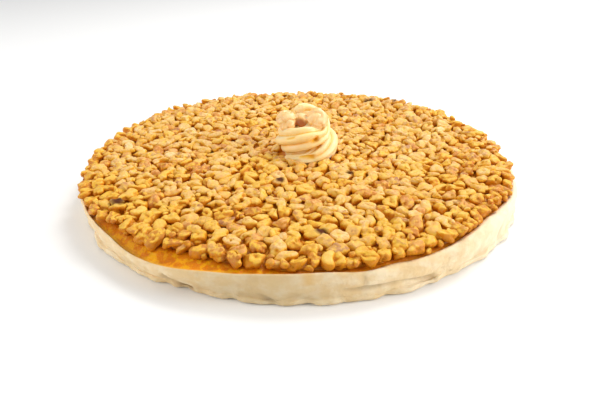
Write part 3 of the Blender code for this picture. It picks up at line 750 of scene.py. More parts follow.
def patches(tree, size, amount, softness, offset):
    """A mask of soft patches. The offset sets them apart from the other patches."""
    return placed(tree, SOFT_PATCHES, Size=size, Amount=amount, Softness=softness, Offset=offset)["Mask"]


SOFT_PATCHES = soft_patches_group()
FINE_GRAIN = fine_grain_group()
HONEY_COAT = honey_coat_group()


def new_material(name):
    material = bpy.data.materials.new(name)
    material.use_nodes = True
    tree = material.node_tree
    tree.nodes.clear()
    shader = tree.nodes.new("ShaderNodeBsdfPrincipled")
    output = tree.nodes.new("ShaderNodeOutputMaterial")
    tree.links.new(shader.outputs[0], output.inputs["Surface"])
    return material, tree, shader


def set_shader(tree, shader, **values):
    feed(tree, shader.inputs, spaced(values))


def grainy(tree, shader, size, coarse, speckle, strength, distance):
    """Gives a shader the bumps of fine grain. The outcome is the mask of its specks."""
    grain = placed(tree, FINE_GRAIN, Size=size, Coarse=coarse, Speckle=speckle)
    bump = node(tree, "ShaderNodeBump", {"Height": grain["Height"], "Strength": strength,
                                         "Distance": distance})
    tree.links.new(bump.outputs[0], shader.inputs["Normal"])
    return grain["Specks"]


# Materials. In a layer of colour stand where it lies, how strong it is, and its colour.

def baked_dough():
    """Pale shortcrust, mottled, a little browner along the rim, where honey has soaked in."""
    material, tree, shader = new_material("baked_dough")
    specks = grainy(tree, shader, 0.0013, 2.2, 0.60, 0.6, 0.0006)
    warm = patches(tree, 0.022, 0.50, 0.22, 1.0)
    pale = patches(tree, 0.007, 0.46, 0.16, 5.0)
    toasted = patches(tree, 0.011, 0.34, 0.08, 9.0)
    dough = over(
        tree, (0.80, 0.60, 0.33),
        (warm, 1, (0.80, 0.56, 0.27)),
        (pale, 0.70, (0.90, 0.76, 0.53)),
        (toasted, 0.28, (0.67, 0.44, 0.21)),
        (specks, 0.35, (0.68, 0.49, 0.28)),
        (mark(tree, "rim"), 0.75, (0.80, 0.47, 0.14)),
        # Painted shade darkens the front of the wall; painted light makes the sides that face the lamps paler
        (mark(tree, "dull"), 0.55, (0.50, 0.385, 0.21)),
        (mark(tree, "lit_sides"), 1, (0.90, 0.78, 0.58)),
        # Painted shade inside the creases
        (mark(tree, "crease"), 0.7, (0.44, 0.30, 0.15)))
    set_shader(tree, shader, Base_Color=dough, Roughness=0.62, Specular_IOR_Level=0.35,
               Subsurface_Weight=0.12, Subsurface_Radius=(0.004, 0.0024, 0.0012), Subsurface_Scale=1.0)
    return material


def set_honey():
    """Amber filling, grainy and glossy, yellower where it is thin along the rim."""
    material, tree, shader = new_material("set_honey")
    specks = grainy(tree, shader, 0.0012, 1.4, 0.54, 0.8, 0.0008)
    yellow = patches(tree, 0.0034, 0.48, 0.07, 2.0)
    dark = patches(tree, 0.0042, 0.42, 0.07, 7.0)
    honey = over(
        tree, (0.74, 0.215, 0.001),
        (yellow, 1, (0.86, 0.38, 0.002)),
        (dark, 0.8, (0.60, 0.145, 0.001)),
        (specks, 0.5, (0.90, 0.47, 0.012)),
        (mark(tree, "rim"), 1, (0.88, 0.46, 0.04)),
        # Painted shadow of the nuts on the filling
        (mark(tree, "under"), 1, (0.56, 0.15, 0.002)))
    set_shader(tree, shader, Base_Color=honey, Roughness=0.36, Specular_IOR_Level=0.18,
               Subsurface_Weight=0.15, Subsurface_Radius=(0.004, 0.0012, 0.0004), Subsurface_Scale=1.0)
    return material


def glazed_nut(name, pale, tan, skin, skin_amount):
    """Toasted nut flesh with scraps of skin, under honey that thickens in the gaps, darkened there by painted
    shade, with amber patches where it has browned and dull dark ones where it is burnt."""
    material, tree, shader = new_material(name)
    skinned = maths(tree, "MULTIPLY", patches(tree, 0.0036, skin_amount, 0.05, 6.0), mark(tree, "skin"))
    flesh = over(
        tree, pale,
        (mark(tree, "tone"), 1, tan),
        (patches(tree, 0.0034, 0.44, 0.12, 4.0), 0.6, tan),
        (patches(tree, 0.0018, 0.42, 0.07, 13.0), 0.70, (0.74, 0.38, 0.12)),
        (mark(tree, "brown"), 1, (0.74, 0.34, 0.10)),
        (skinned, 1, skin))
    # The deeper a point lies in the heap, the steeper it is and the deeper its pit, the more honey and
    # painted shade it gets
    coat = placed(tree, HONEY_COAT, Bare=flesh, Honey=(0.89, 0.53, 0.050, 1),
                  Pooled=(0.68, 0.25, 0.006, 1), Depth=mark(tree, "honey_and_shade"), Film=0.70)
    amber = maths(tree, "MULTIPLY", patches(tree, 0.0028, 0.48, 0.05, 17.0), 0.80)
    browning = maths(tree, "ADD", mark(tree, "brown"), 0.20)
    glazed = over(
        tree, coat["Color"],
        (maths(tree, "MULTIPLY", amber, browning, clamp=True), 1, (0.60, 0.215, 0.028)),
        (mark(tree, "burnt"), 1, (0.095, 0.024, 0.008)))
    gloss = node(tree, "ShaderNodeMapRange", {"Value": coat["Wet"], "To Min": 0.50, "To Max": 0.34})
    dull = maths(tree, "MAXIMUM", gloss.outputs[0], mark(tree, "burnt"))
    set_shader(tree, shader, Base_Color=glazed, Roughness=dull, Specular_IOR_Level=0.25,
               Subsurface_Weight=0.12, Subsurface_Radius=(0.0022, 0.0011, 0.0004), Subsurface_Scale=1.0)
    grainy(tree, shader, 0.0010, 1.4, 0.6, 0.75, 0.00060)
    return material


def piped_cream():
    """Smooth caramel-coloured cream, with golden painted shade in its grooves and hollows."""
    material, tree, shader = new_material("piped_cream")
    cream = over(
        tree, (0.97, 0.755, 0.40),
        (patches(tree, 0.013, 0.48, 0.20, 8.0), 1, (0.97, 0.69, 0.28)),
        # Painted shade in the grooves and in the hollows
        (mark(tree, "groove_shade"), 0.95, (0.86, 0.46, 0.008)),
        (mark(tree, "hollow_shade"), 1, (0.88, 0.49, 0.020)))
    set_shader(tree, shader, Base_Color=cream, Roughness=0.42, Coat_Weight=0.08, Coat_Roughness=0.3,
               Subsurface_Weight=0.35, Subsurface_Radius=(0.005, 0.004, 0.0022), Subsurface_Scale=1.0)
    grainy(tree, shader, 0.0016, 1.0, 0.62, 0.12, 0.00015)
    return material


def walnut_kernel():
    """Pale walnut flesh with a thin glaze, and painted shade in its furrows and between its lobes."""
    material, tree, shader = new_material("walnut_kernel")
    flesh = over(tree, (0.96, 0.65, 0.30), (patches(tree, 0.0055, 0.46, 0.14, 10.0), 1, (0.92, 0.55, 0.19)))
    # Honey and painted shade deepen with the furrow mark
    coat = placed(tree, HONEY_COAT, Bare=flesh, Honey=(0.86, 0.46, 0.12, 1),
                  Pooled=(0.40, 0.11, 0.01, 1), Depth=mark(tree, "furrow"), Film=0.30)
    set_shader(tree, shader, Base_Color=coat["Color"], Roughness=0.40, Coat_Weight=0.2,
               Coat_Roughness=0.25, Subsurface_Weight=0.15,
               Subsurface_Radius=(0.003, 0.0015, 0.0006), Subsurface_Scale=1.0)
    grainy(tree, shader, 0.0010, 1.0, 0.6, 0.25, 0.0002)
    return material


def dark_glaze():
    """The honey glaze under the nuts, seen only in the gaps between them."""
    material, tree, shader = new_material("dark_glaze")
    glaze = over(tree, (0.62, 0.21, 0.006), (patches(tree, 0.006, 0.5, 0.15, 11.0), 1, (0.74, 0.30, 0.010)))
    set_shader(tree, shader, Base_Color=glaze, Roughness=0.34, Specular_IOR_Level=0.35)
    grainy(tree, shader, 0.0012, 1.0, 0.58, 0.5, 0.0004)
    return material


# Pastry case

def case_sections():
    """The rings of the case's section, from the flat underside up the outside to the inner edge."""
    top = RIM_TOP
    hem = FOOT + HEM_PROUD + uneven(HEM_UNEVEN, 5, RAGGED)
    hem_top = HEM_HEIGHT + uneven(HEM_TOP_UNEVEN, 6, RAGGED)
    hem_low = HEM_LIFT + np.abs(uneven(WALL_UNEVEN, 7, RAGGED))
    low = FOOT + LOW_WALL_OUT * (SHOULDER - FOOT) + uneven(FOOT_UNEVEN, 8)
    middle = FOOT + MIDDLE_WALL[0] * (SHOULDER - FOOT) + uneven(WALL_UNEVEN, 9)
    crown = INNER + np.minimum(RIM_ROLL[0] * (SHOULDER - INNER), RIM_ROLL[1])
    return np.array([
        ring(FOOT - FOOT_BEVEL, 0.0),
        ring(hem, hem_low),
        ring(hem, hem_top),
        ring(low, hem_top + HEM_LEDGE),
        ring(middle, MIDDLE_WALL[1] * top + uneven(WALL_UNEVEN, 10)),
        ring(SHOULDER, SHOULDER_LEVEL * top),
        ring(crown + ROLL_POINT[0] * (SHOULDER - crown), ROLL_POINT[1] * top),
        ring(crown, top),
        ring(INNER, top - RIM_DIP),
    ])


def near_crease(grid, start, end, width):
    """How near each point is to a crease, 1 on its line and 0 beyond its width."""
    across = np.radians((np.degrees(np.arctan2(grid[..., 0], -grid[..., 1])) - start[0] + 180) % 360 - 180)
    spot = np.stack([across * SHOULDER_RADIUS, grid[..., 2] - start[1]], axis=-1)
    line = np.array([math.radians(end[0] - start[0]) * SHOULDER_RADIUS, end[1] - start[1]])
    wander = CREASE_WANDER[0] * relief(grid, CREASE_WANDER[1], 41)
    along = np.clip(spot @ line / (line @ line), 0, 1)
    away = np.linalg.norm(spot - along[..., None] * line, axis=-1) + wander
    fade = np.sqrt(np.clip(4 * along * (1 - along) + CREASE_ENDS, 0, 1))
    return np.exp(-((away / width) ** 2)) * fade


def dough_relief(grid):
    """How far each point of the wall moves outwards, and how much painted shade it gets for lying in a
    crease.
    """
    moved = layered(grid * DOUGH_STRETCH, DOUGH_RELIEF, 50)
    flakes = np.abs(relief(grid * FLAKE_STRETCH, FLAKE_SIZE, 60))
    flaky = smooth_step(relief(grid, FLAKY_AREAS, 61) * 2)
    moved -= FLAKE_DEPTH * flaky * smooth_step(1 - flakes * 5)
    crease = np.zeros(grid.shape[:2])
    for start, end, depth, width in CREASES:
        nearness = near_crease(grid, start, end, width)
        moved -= depth * nearness
        crease = np.maximum(crease, nearness * min(depth / CREASE_SHADE_DEPTH, 1.0))
    return moved, crease


def honey_on_rim(grid, height):
    """How much honey has soaked into the dough along the rim, and in one drip below it."""
    low, over_next = SOAKED_FROM
    middle, spread, size = SOAKED_RIM
    rim = smooth_step((height - low) / over_next) * smooth_step(middle + spread * relief(grid, size, 62))
    from_inside = np.linalg.norm(grid[..., :2], axis=-1) - INNER
    rim *= smooth_step(1 - from_inside / (RIM_BAND + bumps(RIM_HONEY)))
    direction, half_width, lowest, faint = DRIP
    drip = np.exp(-(((FROM_FRONT - direction) / half_width) ** 2))
    return np.maximum(rim, drip * smooth_step((grid[..., 2] - lowest) / faint))


def pastry_case():
    grid = rounded(case_sections(), WALL_STEPS)
    facing = outward(grid)
    height = grid[..., 2] / RIM_HEIGHT
    on_rim = smooth_step((height - SMOOTH_FROM[0]) / SMOOTH_FROM[1])
    strength = smooth_step(height / RELIEF_FULL) * (1 - RIM_SMOOTHER * on_rim)
    moved, crease = dough_relief(grid)
    outside = (np.arange(len(grid)) <= sum(WALL_STEPS[:-1]))[:, None]
    grid = grid + facing * (moved * strength * outside)[..., None]
    grid[..., 2] = np.maximum(grid[..., 2], 0.0)
    # Besides the honey soaked into the rim, these marks are painted: shade in the creases and on the front of
    # the wall, and light on the sides that face the lamps
    seen = {
        "rim": honey_on_rim(grid, height),
        "crease": crease * outside,
        "dull": np.tile(bumps(FRONT_SHADE_DOUGH), (len(grid), 1)),
        "lit_sides": np.tile(bumps(LIT_SIDES_DOUGH), (len(grid), 1)),
    }
    hidden = [ring(INNER - LIP[0], RIM_TOP - RIM_DIP - LIP[1]), ring(FLOOR_EDGE, FLOOR)]
    points, faces = capped(np.concatenate([grid, hidden]))
    marks = {name: np.append(values, np.zeros(2 * DIRECTIONS + 2)) for name, values in seen.items()}
    settle_piece(new_piece("baked_case", points, faces, baked_dough(), marks), "pastry_case")


# Honey filling

def honey_filling():
    """Fills the case, and shows as a grainy strip between the rim and the nuts."""
    edge_top = np.minimum(RIM_TOP - RIM_DIP - FILLING_SINK, FILLING_TOP - 2 * GAP)
    up = (edge_top - FLOOR) / (RIM_TOP - RIM_DIP - FLOOR)
    side = FLOOR_EDGE + up * (INNER - FLOOR_EDGE) - SIDE_GAP
    rings = [ring(FLOOR_EDGE - 2 * SIDE_GAP, FLOOR + GAP), ring(side, edge_top)]
    for step in range(1, FILLING_RINGS + 1):
        inward = STRIP * (step / FILLING_RINGS) ** RING_SPREAD
        rise = smooth_step(inward / (FILLING_SLOPE + BARE_SLOPE * bumps(BARE_PATCHES)))
        rings.append(ring(side - inward, edge_top + (FILLING_TOP - edge_top) * rise))
    rings += [ring(side * share, FILLING_TOP) for share in MIDDLE_RINGS]
    grid = np.array(rings)
    radius = np.linalg.norm(grid[..., :2], axis=-1)
    away = side - radius
    moved = layered(grid, FILLING_RELIEF, 70) * smooth_step(away / FILLING_SMOOTH)
    grid[2:, :, 2] += moved[2:]
    strays = YELLOW_STRAYS[0] * relief(grid, YELLOW_STRAYS[1], 75)
    rim = smooth_step(1 - (away + strays) / YELLOW_EDGE)
    # A painted shadow that darkens the filling below the nuts
    strays = NUT_SHADOW_STRAYS[0] * relief(grid, NUT_SHADOW_STRAYS[1], 76)
    under = smooth_step((NUT_EDGE - radius) / NUT_SHADOW_REACH + strays)
    rim[0] = 0
    points, faces = capped(grid)
    marks = {"rim": np.append(rim, np.zeros(2)), "under": np.append(under, np.ones(2))}
    settle_piece(new_piece("amber_filling", points, faces, set_honey(), marks), "honey_filling")


# Nut topping

def bed_height(x, y):
    """The top of the glaze, which falls to the filling along the edge of the heap."""
    slope = smooth_step((inside_nut_edge(x, y) - BED_INSET) / BED_SLOPE)
    height = FILLING_TOP + (BED_TOP - FILLING_TOP) * slope
    rise, distance = UNDER_CREAM
    under_cream = smooth_step((ROSETTE_RADIUS - from_rosette(x, y)) / distance)
    return height + (ROSETTE_BASE + rise - height) * under_cream


def heap_ground():
    """The height map that the nuts are laid on, and the places of its cells."""
    count = round(2 * MAP_HALF / CELL)
    axis = (np.arange(count) + 0.5) * CELL - MAP_HALF
    x, y = np.meshgrid(axis, axis, indexing="ij")
    radius, angle = np.hypot(x, y), np.arctan2(y, x)
    on_rim = radius > in_direction(INNER, angle) - RIM_NEAR
    ground = np.where(on_rim, in_direction(RIM_TOP, angle), bed_height(x, y))
    around = np.arctan2(y - ROSETTE_PLACE[1], x - ROSETTE_PLACE[0]) - TAIL_GAP
    before_tail = smooth_step(1 - np.abs((around + math.pi) % math.tau - math.pi) / TAIL_SPREAD)
    cream_edge = ROSETTE_RADIUS - CREAM_OVERLAP - TAIL_OVERLAP * before_tail
    return axis, np.where(from_rosette(x, y) < cream_edge, 1.0, ground)


def highest_allowed(x, y):
    rise = smooth_step(inside_nut_edge(x, y) / HEAP_SLOPE)
    return HEAP_EDGE_TOP + (HEAP_TOP - HEAP_EDGE_TOP) * rise


def dropped(heap, axis, x, y, half, turned):
    """Where a nut comes to rest: the height of its middle, the part of the map that it covers
    and the top that it has there. It may press a little into its neighbours."""
    reach = max(half)
    first = np.searchsorted(axis, (x - reach, y - reach))
    last = np.searchsorted(axis, (x + reach, y + reach))
    window = (slice(first[0], last[0]), slice(first[1], last[1]))
    dx = axis[window[0]][:, None] - x
    dy = axis[window[1]][None, :] - y
    spread = turned @ np.diag([1 / h ** 2 for h in half]) @ turned.T
    b = spread[0, 2] * dx + spread[1, 2] * dy
    c = spread[0, 0] * dx ** 2 + 2 * spread[0, 1] * dx * dy + spread[1, 1] * dy ** 2 - 1
    inside = b * b - spread[2, 2] * c
    root = np.sqrt(np.maximum(inside, 0)) / spread[2, 2]
    middle = -b / spread[2, 2]
    needed = (heap[window] - (middle - root))[inside > UNDERSIDE]
    height = np.quantile(needed, PRESSED_IN)
    return height, window, np.where(inside > 0, height + middle + root, -1.0)


def nuts_to_lay(rng):
    """All nuts with their half-sizes, the large ones first, in two layers and then the crumbs."""
    waiting = []
    for name, kind in NUT_KINDS.items():
        for _ in range(kind.count):
            share = rng.random()
            half = [low + (high - low) * (ALIKE * share + (1 - ALIKE) * rng.random())
                    for low, high in (kind.lengths, kind.widths, kind.heights)]
            layer = 2 if name == "nut_crumbs" else int(rng.random() < UPPER_SHARE)
            waiting.append((layer, -round(half[0], 3), rng.random(), name, half))
    return sorted(waiting, key=lambda nut: nut[:3])


def places_to_try(half, near_edge, rng):
    angle = rng.uniform(0, math.tau, PLACES)
    edge = in_direction(NUT_EDGE, angle) - INSIDE_EDGE * half[0]
    radius = edge * np.sqrt(rng.random(PLACES))
    if near_edge:
        radius = edge - EDGE_BAND * rng.random(PLACES)
    return radius * np.cos(angle), radius * np.sin(angle)


def lowest_place(heap, x, y, feel):
    """The lowest of some places, and the slope of the ground there along x and y."""
    samples = []
    for step_x, step_y in ((0, 0), (1, 0), (-1, 0), (0, 1), (0, -1)):
        i = ((x + feel * step_x + MAP_HALF) / CELL).astype(int)
        j = ((y + feel * step_y + MAP_HALF) / CELL).astype(int)
        samples.append(heap[i, j])
    samples = np.array(samples)
    best = np.argmin(samples.mean(axis=0) + HIGHEST_COUNTS * samples.max(axis=0))
    centre, right, left, back, front = samples[:, best]
    return x[best], y[best], (right - left) / (2 * feel), (back - front) / (2 * feel)


def lay_nuts(rng):
    """Lays every nut on the lowest of some places, and drops those that end up out of sight."""
    axis, heap = heap_ground()
    laid = []
    for layer, _, _, name, half in nuts_to_lay(rng):
        near_edge = layer < 2 and rng.random() < EDGE_SHARE
        for _ in range(TRIES):
            places = places_to_try(half, near_edge, rng)
            x, y, slope_x, slope_y = lowest_place(heap, *places, FEELERS * half[0])
            lean = np.clip((LEANS * slope_y, -LEANS * slope_x), -LEAN_MOST, LEAN_MOST)
            lean = [float(value) + rng.uniform(-LEAN_STRAYS, LEAN_STRAYS) for value in lean]
            turned = np.array(Euler((*lean, 0.0)).to_matrix()) @ np.array(
                Matrix.Rotation(rng.uniform(0, math.tau), 3, "Z"))
            height, window, top = dropped(heap, axis, x, y, half, turned)
            if top.max() < highest_allowed(x, y):
                heap[window] = np.maximum(heap[window], top)
                laid.append((name, (x, y, height), half, turned, window, top))
                break
    seen = []
    for nut in laid:
        _, (x, y, _), _, _, window, top = nut
        shown = (heap[window] - top < COVERED) & (top > 0)
        if shown.sum() / (top > 0).sum() > OUT_OF_SIGHT or inside_nut_edge(x, y) < ALWAYS_KEPT:
            seen.append(nut)
    return seen, heap


def smoothed(values, width):
    """A height map blurred over a width in cells."""
    kernel = np.exp(-0.5 * (np.arange(-3 * width, 3 * width + 1) / width) ** 2)
    kernel /= kernel.sum()
    for _ in range(2):
        values = np.apply_along_axis(lambda row: np.convolve(row, kernel, mode="same"), 1, values).T
    return values


def random_sides(count, rng):
    side = rng.normal(size=(count, 3))
    return side / np.linalg.norm(side, axis=1, keepdims=True)


def chipped_eggs(ball, half, name, rng):
    """Blunt eggs with chipped sides and bites out of them. Peanut halves are flat below."""
    kind, count = NUT_KINDS[name], len(half)
    total = (np.abs(ball[None] / half[:, None]) ** BLUNT).sum(axis=-1) ** (kind.sharpness / BLUNT)
    if name == "peanut_halves":
        total = total + np.maximum(-ball[None, :, 2] / (FLAT_SIDE * half[:, 2:]), 0) ** kind.sharpness
    for _ in range(kind.chips):
        side = random_sides(count, rng)
        reach = np.linalg.norm(side * half, axis=1) * rng.uniform(*CHIP_REACH, count)
        total = total + (np.maximum(side @ ball.T, 0) / reach[:, None]) ** kind.sharpness
    points = ball[None] * (total ** (-1 / kind.sharpness))[..., None]
    for _ in range(kind.bites):
        near = 1 - random_sides(count, rng) @ ball.T
        depth = rng.uniform(*BITE_DEPTH, (count, 1))
        spread = rng.uniform(*BITE_SPREAD, (count, 1))
        points *= (1 - depth * np.exp(-near / spread))[..., None]
    return points


def curved_like_cashews(points, half):
    curve = CASHEW_CURVE * half[:, :1]
    bend = points[..., 0] / curve
    arm = curve + points[..., 1] * (1 - CASHEW_TIPS * bend ** 2)
    return np.stack([arm * np.sin(bend), arm * np.cos(bend), points[..., 2]], axis=-1)


def nut_relief(points, ball, name):
    """Small bumps on the nuts, and clefts in the craggy kinds: how far each point moves."""
    rough = NUT_KINDS[name].rough
    apart = points + NUTS_APART * np.arange(len(points))[:, None, None]
    bumpy = layered(apart, NUT_RELIEF, 80)
    if rough > CRAGGY_FROM:
        clefts = smooth_step(1 - CLEFT_NARROW * np.abs(relief(apart, CLEFT_SIZE, 82)))
        bumpy = CRAGGY_BUMPS * bumpy - CLEFT_DEPTH * clefts
    return rough * bumpy


def nut_shapes(ball, half, name, rng):
    """Shapes of all nuts of one kind round their own middles, and how deep in a pit each of
    their points lies."""
    count = len(half)
    points = chipped_eggs(ball, half, name, rng)
    size = half
    if name == "cashew_pieces":
        points = curved_like_cashews(points, half)
        size = half * CASHEW_BOX
    else:
        bend = rng.uniform(-BEND, BEND, (count, 1)) * (name != "peanut_halves")
        points[..., 1] += bend * points[..., 0] ** 2 / half[:, :1]
        taper = rng.uniform(-TAPER, TAPER, (count, 1, 1))
        points[..., 1:] *= 1 + taper * points[..., :1] / half[:, None, :1]
    if name == "peanut_halves":
        depth, half_width = PEANUT_GROOVE
        across = points[..., 1] / (half_width * half[:, 1:2])
        points[..., 2] += depth * (np.exp(-across ** 2) * (ball[None, :, 2] < -0.2))
        points[rng.random(count) < FLAT_SIDE_UP] *= (1, -1, -1)
    moved = nut_relief(points, ball, name)
    points = points + ball[None] * moved[..., None]
    low, high = points.min(axis=1, keepdims=True), points.max(axis=1, keepdims=True)
    shapes = (points - 0.5 * (low + high)) * (FULL_SIZE * size[:, None] / (high - low))
    return shapes, smooth_step(-moved / PIT_DEPTH)


def facing_up(points, faces):
    """How far up each point of a mesh faces, from -1 to 1."""
    corners = points[faces]
    normal = np.cross(corners[:, 1] - corners[:, 0], corners[:, 2] - corners[:, 0])
    total = np.stack([np.bincount(faces.ravel(), np.repeat(normal[:, axis], 3), len(points))
                      for axis in range(3)], axis=-1)
    return total[:, 2] / np.maximum(np.linalg.norm(total, axis=1), 1e-15)


def at_spots(centres, spots):
    """1 for the nuts that lie at one of the spots, 0 for the others."""
    near = [np.hypot(centres[:, 0] - x, centres[:, 1] - y) < reach for x, y, reach in spots]
    return np.any(near, axis=0) * 1.0


def nut_marks(name, centres, points, faces, pits, top_map, rng):
    """What the nuts' material reads. Tone, skin and brown are the same all over a nut."""
    count, each = len(centres), len(points) // len(centres)
    cell = ((points[:, :2] + MAP_HALF) / CELL).astype(int)
    # How far each point lies below the honey line: honey, and painted shade that deepens with it
    honey_and_shade = np.clip((top_map[cell[:, 0], cell[:, 1]] - points[:, 2]) / HONEY_AND_SHADE_DEPTH, 0, 1)
    inward = inside_nut_edge(centres[:, 0], centres[:, 1])
    # Towards the front the nuts get more tan and honey, which paints the shade on the front of the heap
    to_front = centres[:, 1] / -FOOT_RADIUS
    tone = rng.normal(*TONE, count) + TONE_PATCH[0] * relief(centres, TONE_PATCH[1], 95)
    tone = np.clip(tone + TO_FRONT[0] * to_front, 0, 1)
    soaked = SOAKED_PATCH[0] * relief(centres, SOAKED_PATCH[1], 96)
    soaked += smooth_step(1 - inward / SOAKED_EDGE) + TO_FRONT[1] * to_front
    soaked = smooth_step(soaked + rng.normal(0, SOAKED_SPREAD, count))
    skin = (rng.random(count) < NUT_KINDS[name].skinned) * rng.uniform(*SKIN_RANGE, count)
    # Outer nuts: painted shade on their steep sides, and more of them brown
    by_edge = smooth_step(1 - inward / EDGE_SHADE_AND_BROWN)
    more, width, round_to = FRONT_ROW
    in_row = smooth_step(1 - inward / width) * smooth_step(round_to * to_front)
    chance = BROWN_SHARE[0] + (BROWN_SHARE[1] - BROWN_SHARE[0]) * by_edge + more * in_row
    brown = (rng.random(count) < chance) * rng.uniform(*BROWN_RANGE, count)
    burnt = np.zeros(len(points))
    for x, y, reach in BURNT_SPOTS:
        away = np.hypot(points[:, 0] - x, points[:, 1] - y)
        burnt = np.maximum(burnt, smooth_step(BURNT_FROM - away / reach))
    # Honey with painted shade on steep sides, more on the outer nuts, and in pits; honey on soaked nuts
    steep = smooth_step((STEEP[0] - facing_up(points, faces)) / STEEP[1])
    honey_and_shade += steep * np.repeat(HONEY_AND_SHADE_ON["steep"] + HONEY_AND_SHADE_ON["edge"] * by_edge, each)
    honey_and_shade += HONEY_AND_SHADE_ON["pits"] * pits.ravel() + HONEY_AND_SHADE_ON["soaked"] * np.repeat(soaked, each)
    return {
        "tone": np.repeat(tone, each),
        "skin": np.repeat(np.maximum(skin, at_spots(centres, SKIN_SPOTS)), each),
        "brown": np.repeat(np.maximum(brown, SPOT_BROWN * at_spots(centres, BROWN_SPOTS)), each),
        "honey_and_shade": np.clip(honey_and_shade, 0, 1),
        "burnt": burnt,
    }


def back_rise(points):
    """How much higher the heap stands at each point: it is stretched upwards along the back."""
    angle = np.arctan2(points[:, 1], points[:, 0])
    radius = np.hypot(points[:, 0], points[:, 1])
    outwards = smooth_step((radius / in_direction(NUT_EDGE, angle) - RISE_FROM[0]) / RISE_FROM[1])
    up = (points[:, 2] - FILLING_TOP) / (HEAP_TOP - FILLING_TOP)
    return in_direction(bumps(BACK_RISES), angle) * outwards * np.maximum(up, 0)


def nut_piece(name, laid, top_map, material, rng):
    """One mesh of all nuts of a kind, where they were laid."""
    ball, faces = round_ball(3 if name == "nut_crumbs" else 6)
    half = np.array([nut[2] for nut in laid])
    shapes, pits = nut_shapes(ball, half, name, rng)
    turned = np.array([nut[3] for nut in laid])
    centres = np.array([nut[1] for nut in laid])
    points = (np.einsum("nij,nkj->nki", turned, shapes) + centres[:, None]).reshape(-1, 3)
    all_faces = (faces[None] + len(ball) * np.arange(len(laid))[:, None, None]).reshape(-1, 3)
    marks = nut_marks(name, centres, points, all_faces, pits, top_map, rng)
    points[:, 2] += back_rise(points)
    return new_piece(name, points, all_faces, material, marks)


def glaze_bed():
    """The glaze under the nuts, uneven with fine crumbs, as a thin solid on the filling."""
    edge = NUT_EDGE - BED_INSET + uneven(BED_UNEVEN, 12, RAGGED)
    rings = [ring(edge * 0.5, FILLING_TOP), ring(edge - BED_FOOT[0], FILLING_TOP - BED_FOOT[1])]
    for share in np.linspace(1.0, 0.0, BED_RINGS + 1)[:-1]:
        radius = edge * share
        fill = BED_FILLS * smooth_step((edge - radius) / BED_SLOPE)
        rings.append(ring(radius, fill + bed_height(radius * np.cos(TURN), radius * np.sin(TURN))))
    grid = np.array(rings)[:, ::2]
    inward = smooth_step((edge[::2] - np.linalg.norm(grid[..., :2], axis=-1)) / BED_SMOOTH)
    grid[2:, :, 2] += (layered(grid, BED_RELIEF, 90) * inward)[2:]
    points, faces = capped(grid)
    return new_piece("glaze_bed", points, faces, dark_glaze())


def nut_topping():
    rng = np.random.default_rng(SEED)
    laid, heap = lay_nuts(rng)
    filled = np.where(heap > 0.5, HEAP_TOP, heap)
    # The honey line: points below it get honey and painted shade
    top_map = np.maximum(*[smoothed(filled, width) for width in HONEY_BLURS]) + HONEY_ABOVE
    flesh = {name: glazed_nut(name, *looks) for name, looks in NUT_FLESH.items()}
    pieces = [glaze_bed()]
    for name in NUT_KINDS:
        alike = [nut for nut in laid if nut[0] == name]
        material = flesh[FLESH_OF.get(name, "chopped_flesh")]
        pieces.append(nut_piece(name, alike, top_map, material, rng))
    for piece in pieces:
        settle_piece(piece, "nut_topping")


# Cream rosette

def rope_line():
    """The middle of the piped rope, its radius and how far round it has come, step by step."""
    stations = np.array(ROPE_STATIONS)
    gaps = len(stations) - 1
    angle, reach, radius, height = rounded(stations, [ROPE_STEPS // gaps] * gaps).T
    angle = np.radians(angle)
    x = ROSETTE_PLACE[0] + reach * np.cos(angle)
    y = ROSETTE_PLACE[1] + reach * np.sin(angle)
    return np.stack([x, y, ROSETTE_BASE + height], axis=-1), radius, angle - angle[0]


def cream_rope():
    """The rope of cream, ridged by a star nozzle, as points and triangles."""
    middle, radius, come = rope_line()
    forward = np.gradient(middle, axis=0)
    forward /= np.linalg.norm(forward, axis=1, keepdims=True)
    side = np.cross(forward, (0, 0, 1))
    side /= np.linalg.norm(side, axis=1, keepdims=True)
    above = np.cross(side, forward)
    turn = np.arange(ROPE_SIDES) * math.tau / ROPE_SIDES
    ridge = np.abs(np.cos(0.5 * ROPE_RIDGES * turn)) ** RIDGE_ROUND
    reach = radius[:, None] * (RIDGE_REACH[1] + (RIDGE_REACH[0] - RIDGE_REACH[1]) * ridge)
    spun = turn[None] + ROPE_PHASE + ROPE_TWIST / math.tau * come[:, None]
    across = side[:, None] * np.cos(spun)[..., None] + above[:, None] * np.sin(spun)[..., None]
    grid = middle[:, None] + reach[..., None] * across
    grid[..., 2] = np.maximum(grid[..., 2], ROSETTE_BASE)
    tail = middle[0] - TAIL_TIP * forward[0]
    end = middle[-1] + END_TIP
    ends = [(1 - TIP_SIZE) * tip + TIP_SIZE * last for tip, last in ((tail, grid[:1]), (end, grid[-1:]))]
    grid = np.concatenate([ends[0], grid, ends[1]])
    return capped(grid[:, ::-1])


def cream_heart():
    """The cream inside the swirl."""
    turn = np.arange(HEART_SIDES) * math.tau / HEART_SIDES
    rings = []
    for radius, back, height in HEART:
        x = ROSETTE_PLACE[0] + radius * np.cos(turn)
        y = ROSETTE_PLACE[1] + back + radius * np.sin(turn)
        rings.append(np.stack([x, y, np.full(HEART_SIDES, ROSETTE_BASE + height)], axis=-1))
    return capped(np.array(rings))


def pressed(points):
    """The cream with its hollows, and how much painted shade each point gets for lying in one."""
    points = points.copy()
    dark = np.zeros(len(points))
    for start, end, push, half_width, shade_strength in HOLLOWS:
        line = np.subtract(end, start)
        along = np.clip((points - start) @ line / (line @ line), 0, 1)
        away = np.linalg.norm(points - start - along[:, None] * line, axis=1)
        share = np.exp(-((away / half_width) ** 2))
        points += share[:, None] * push
        # Painted shade in the hollow
        dark = np.maximum(dark, shade_strength * share)
    return points, dark


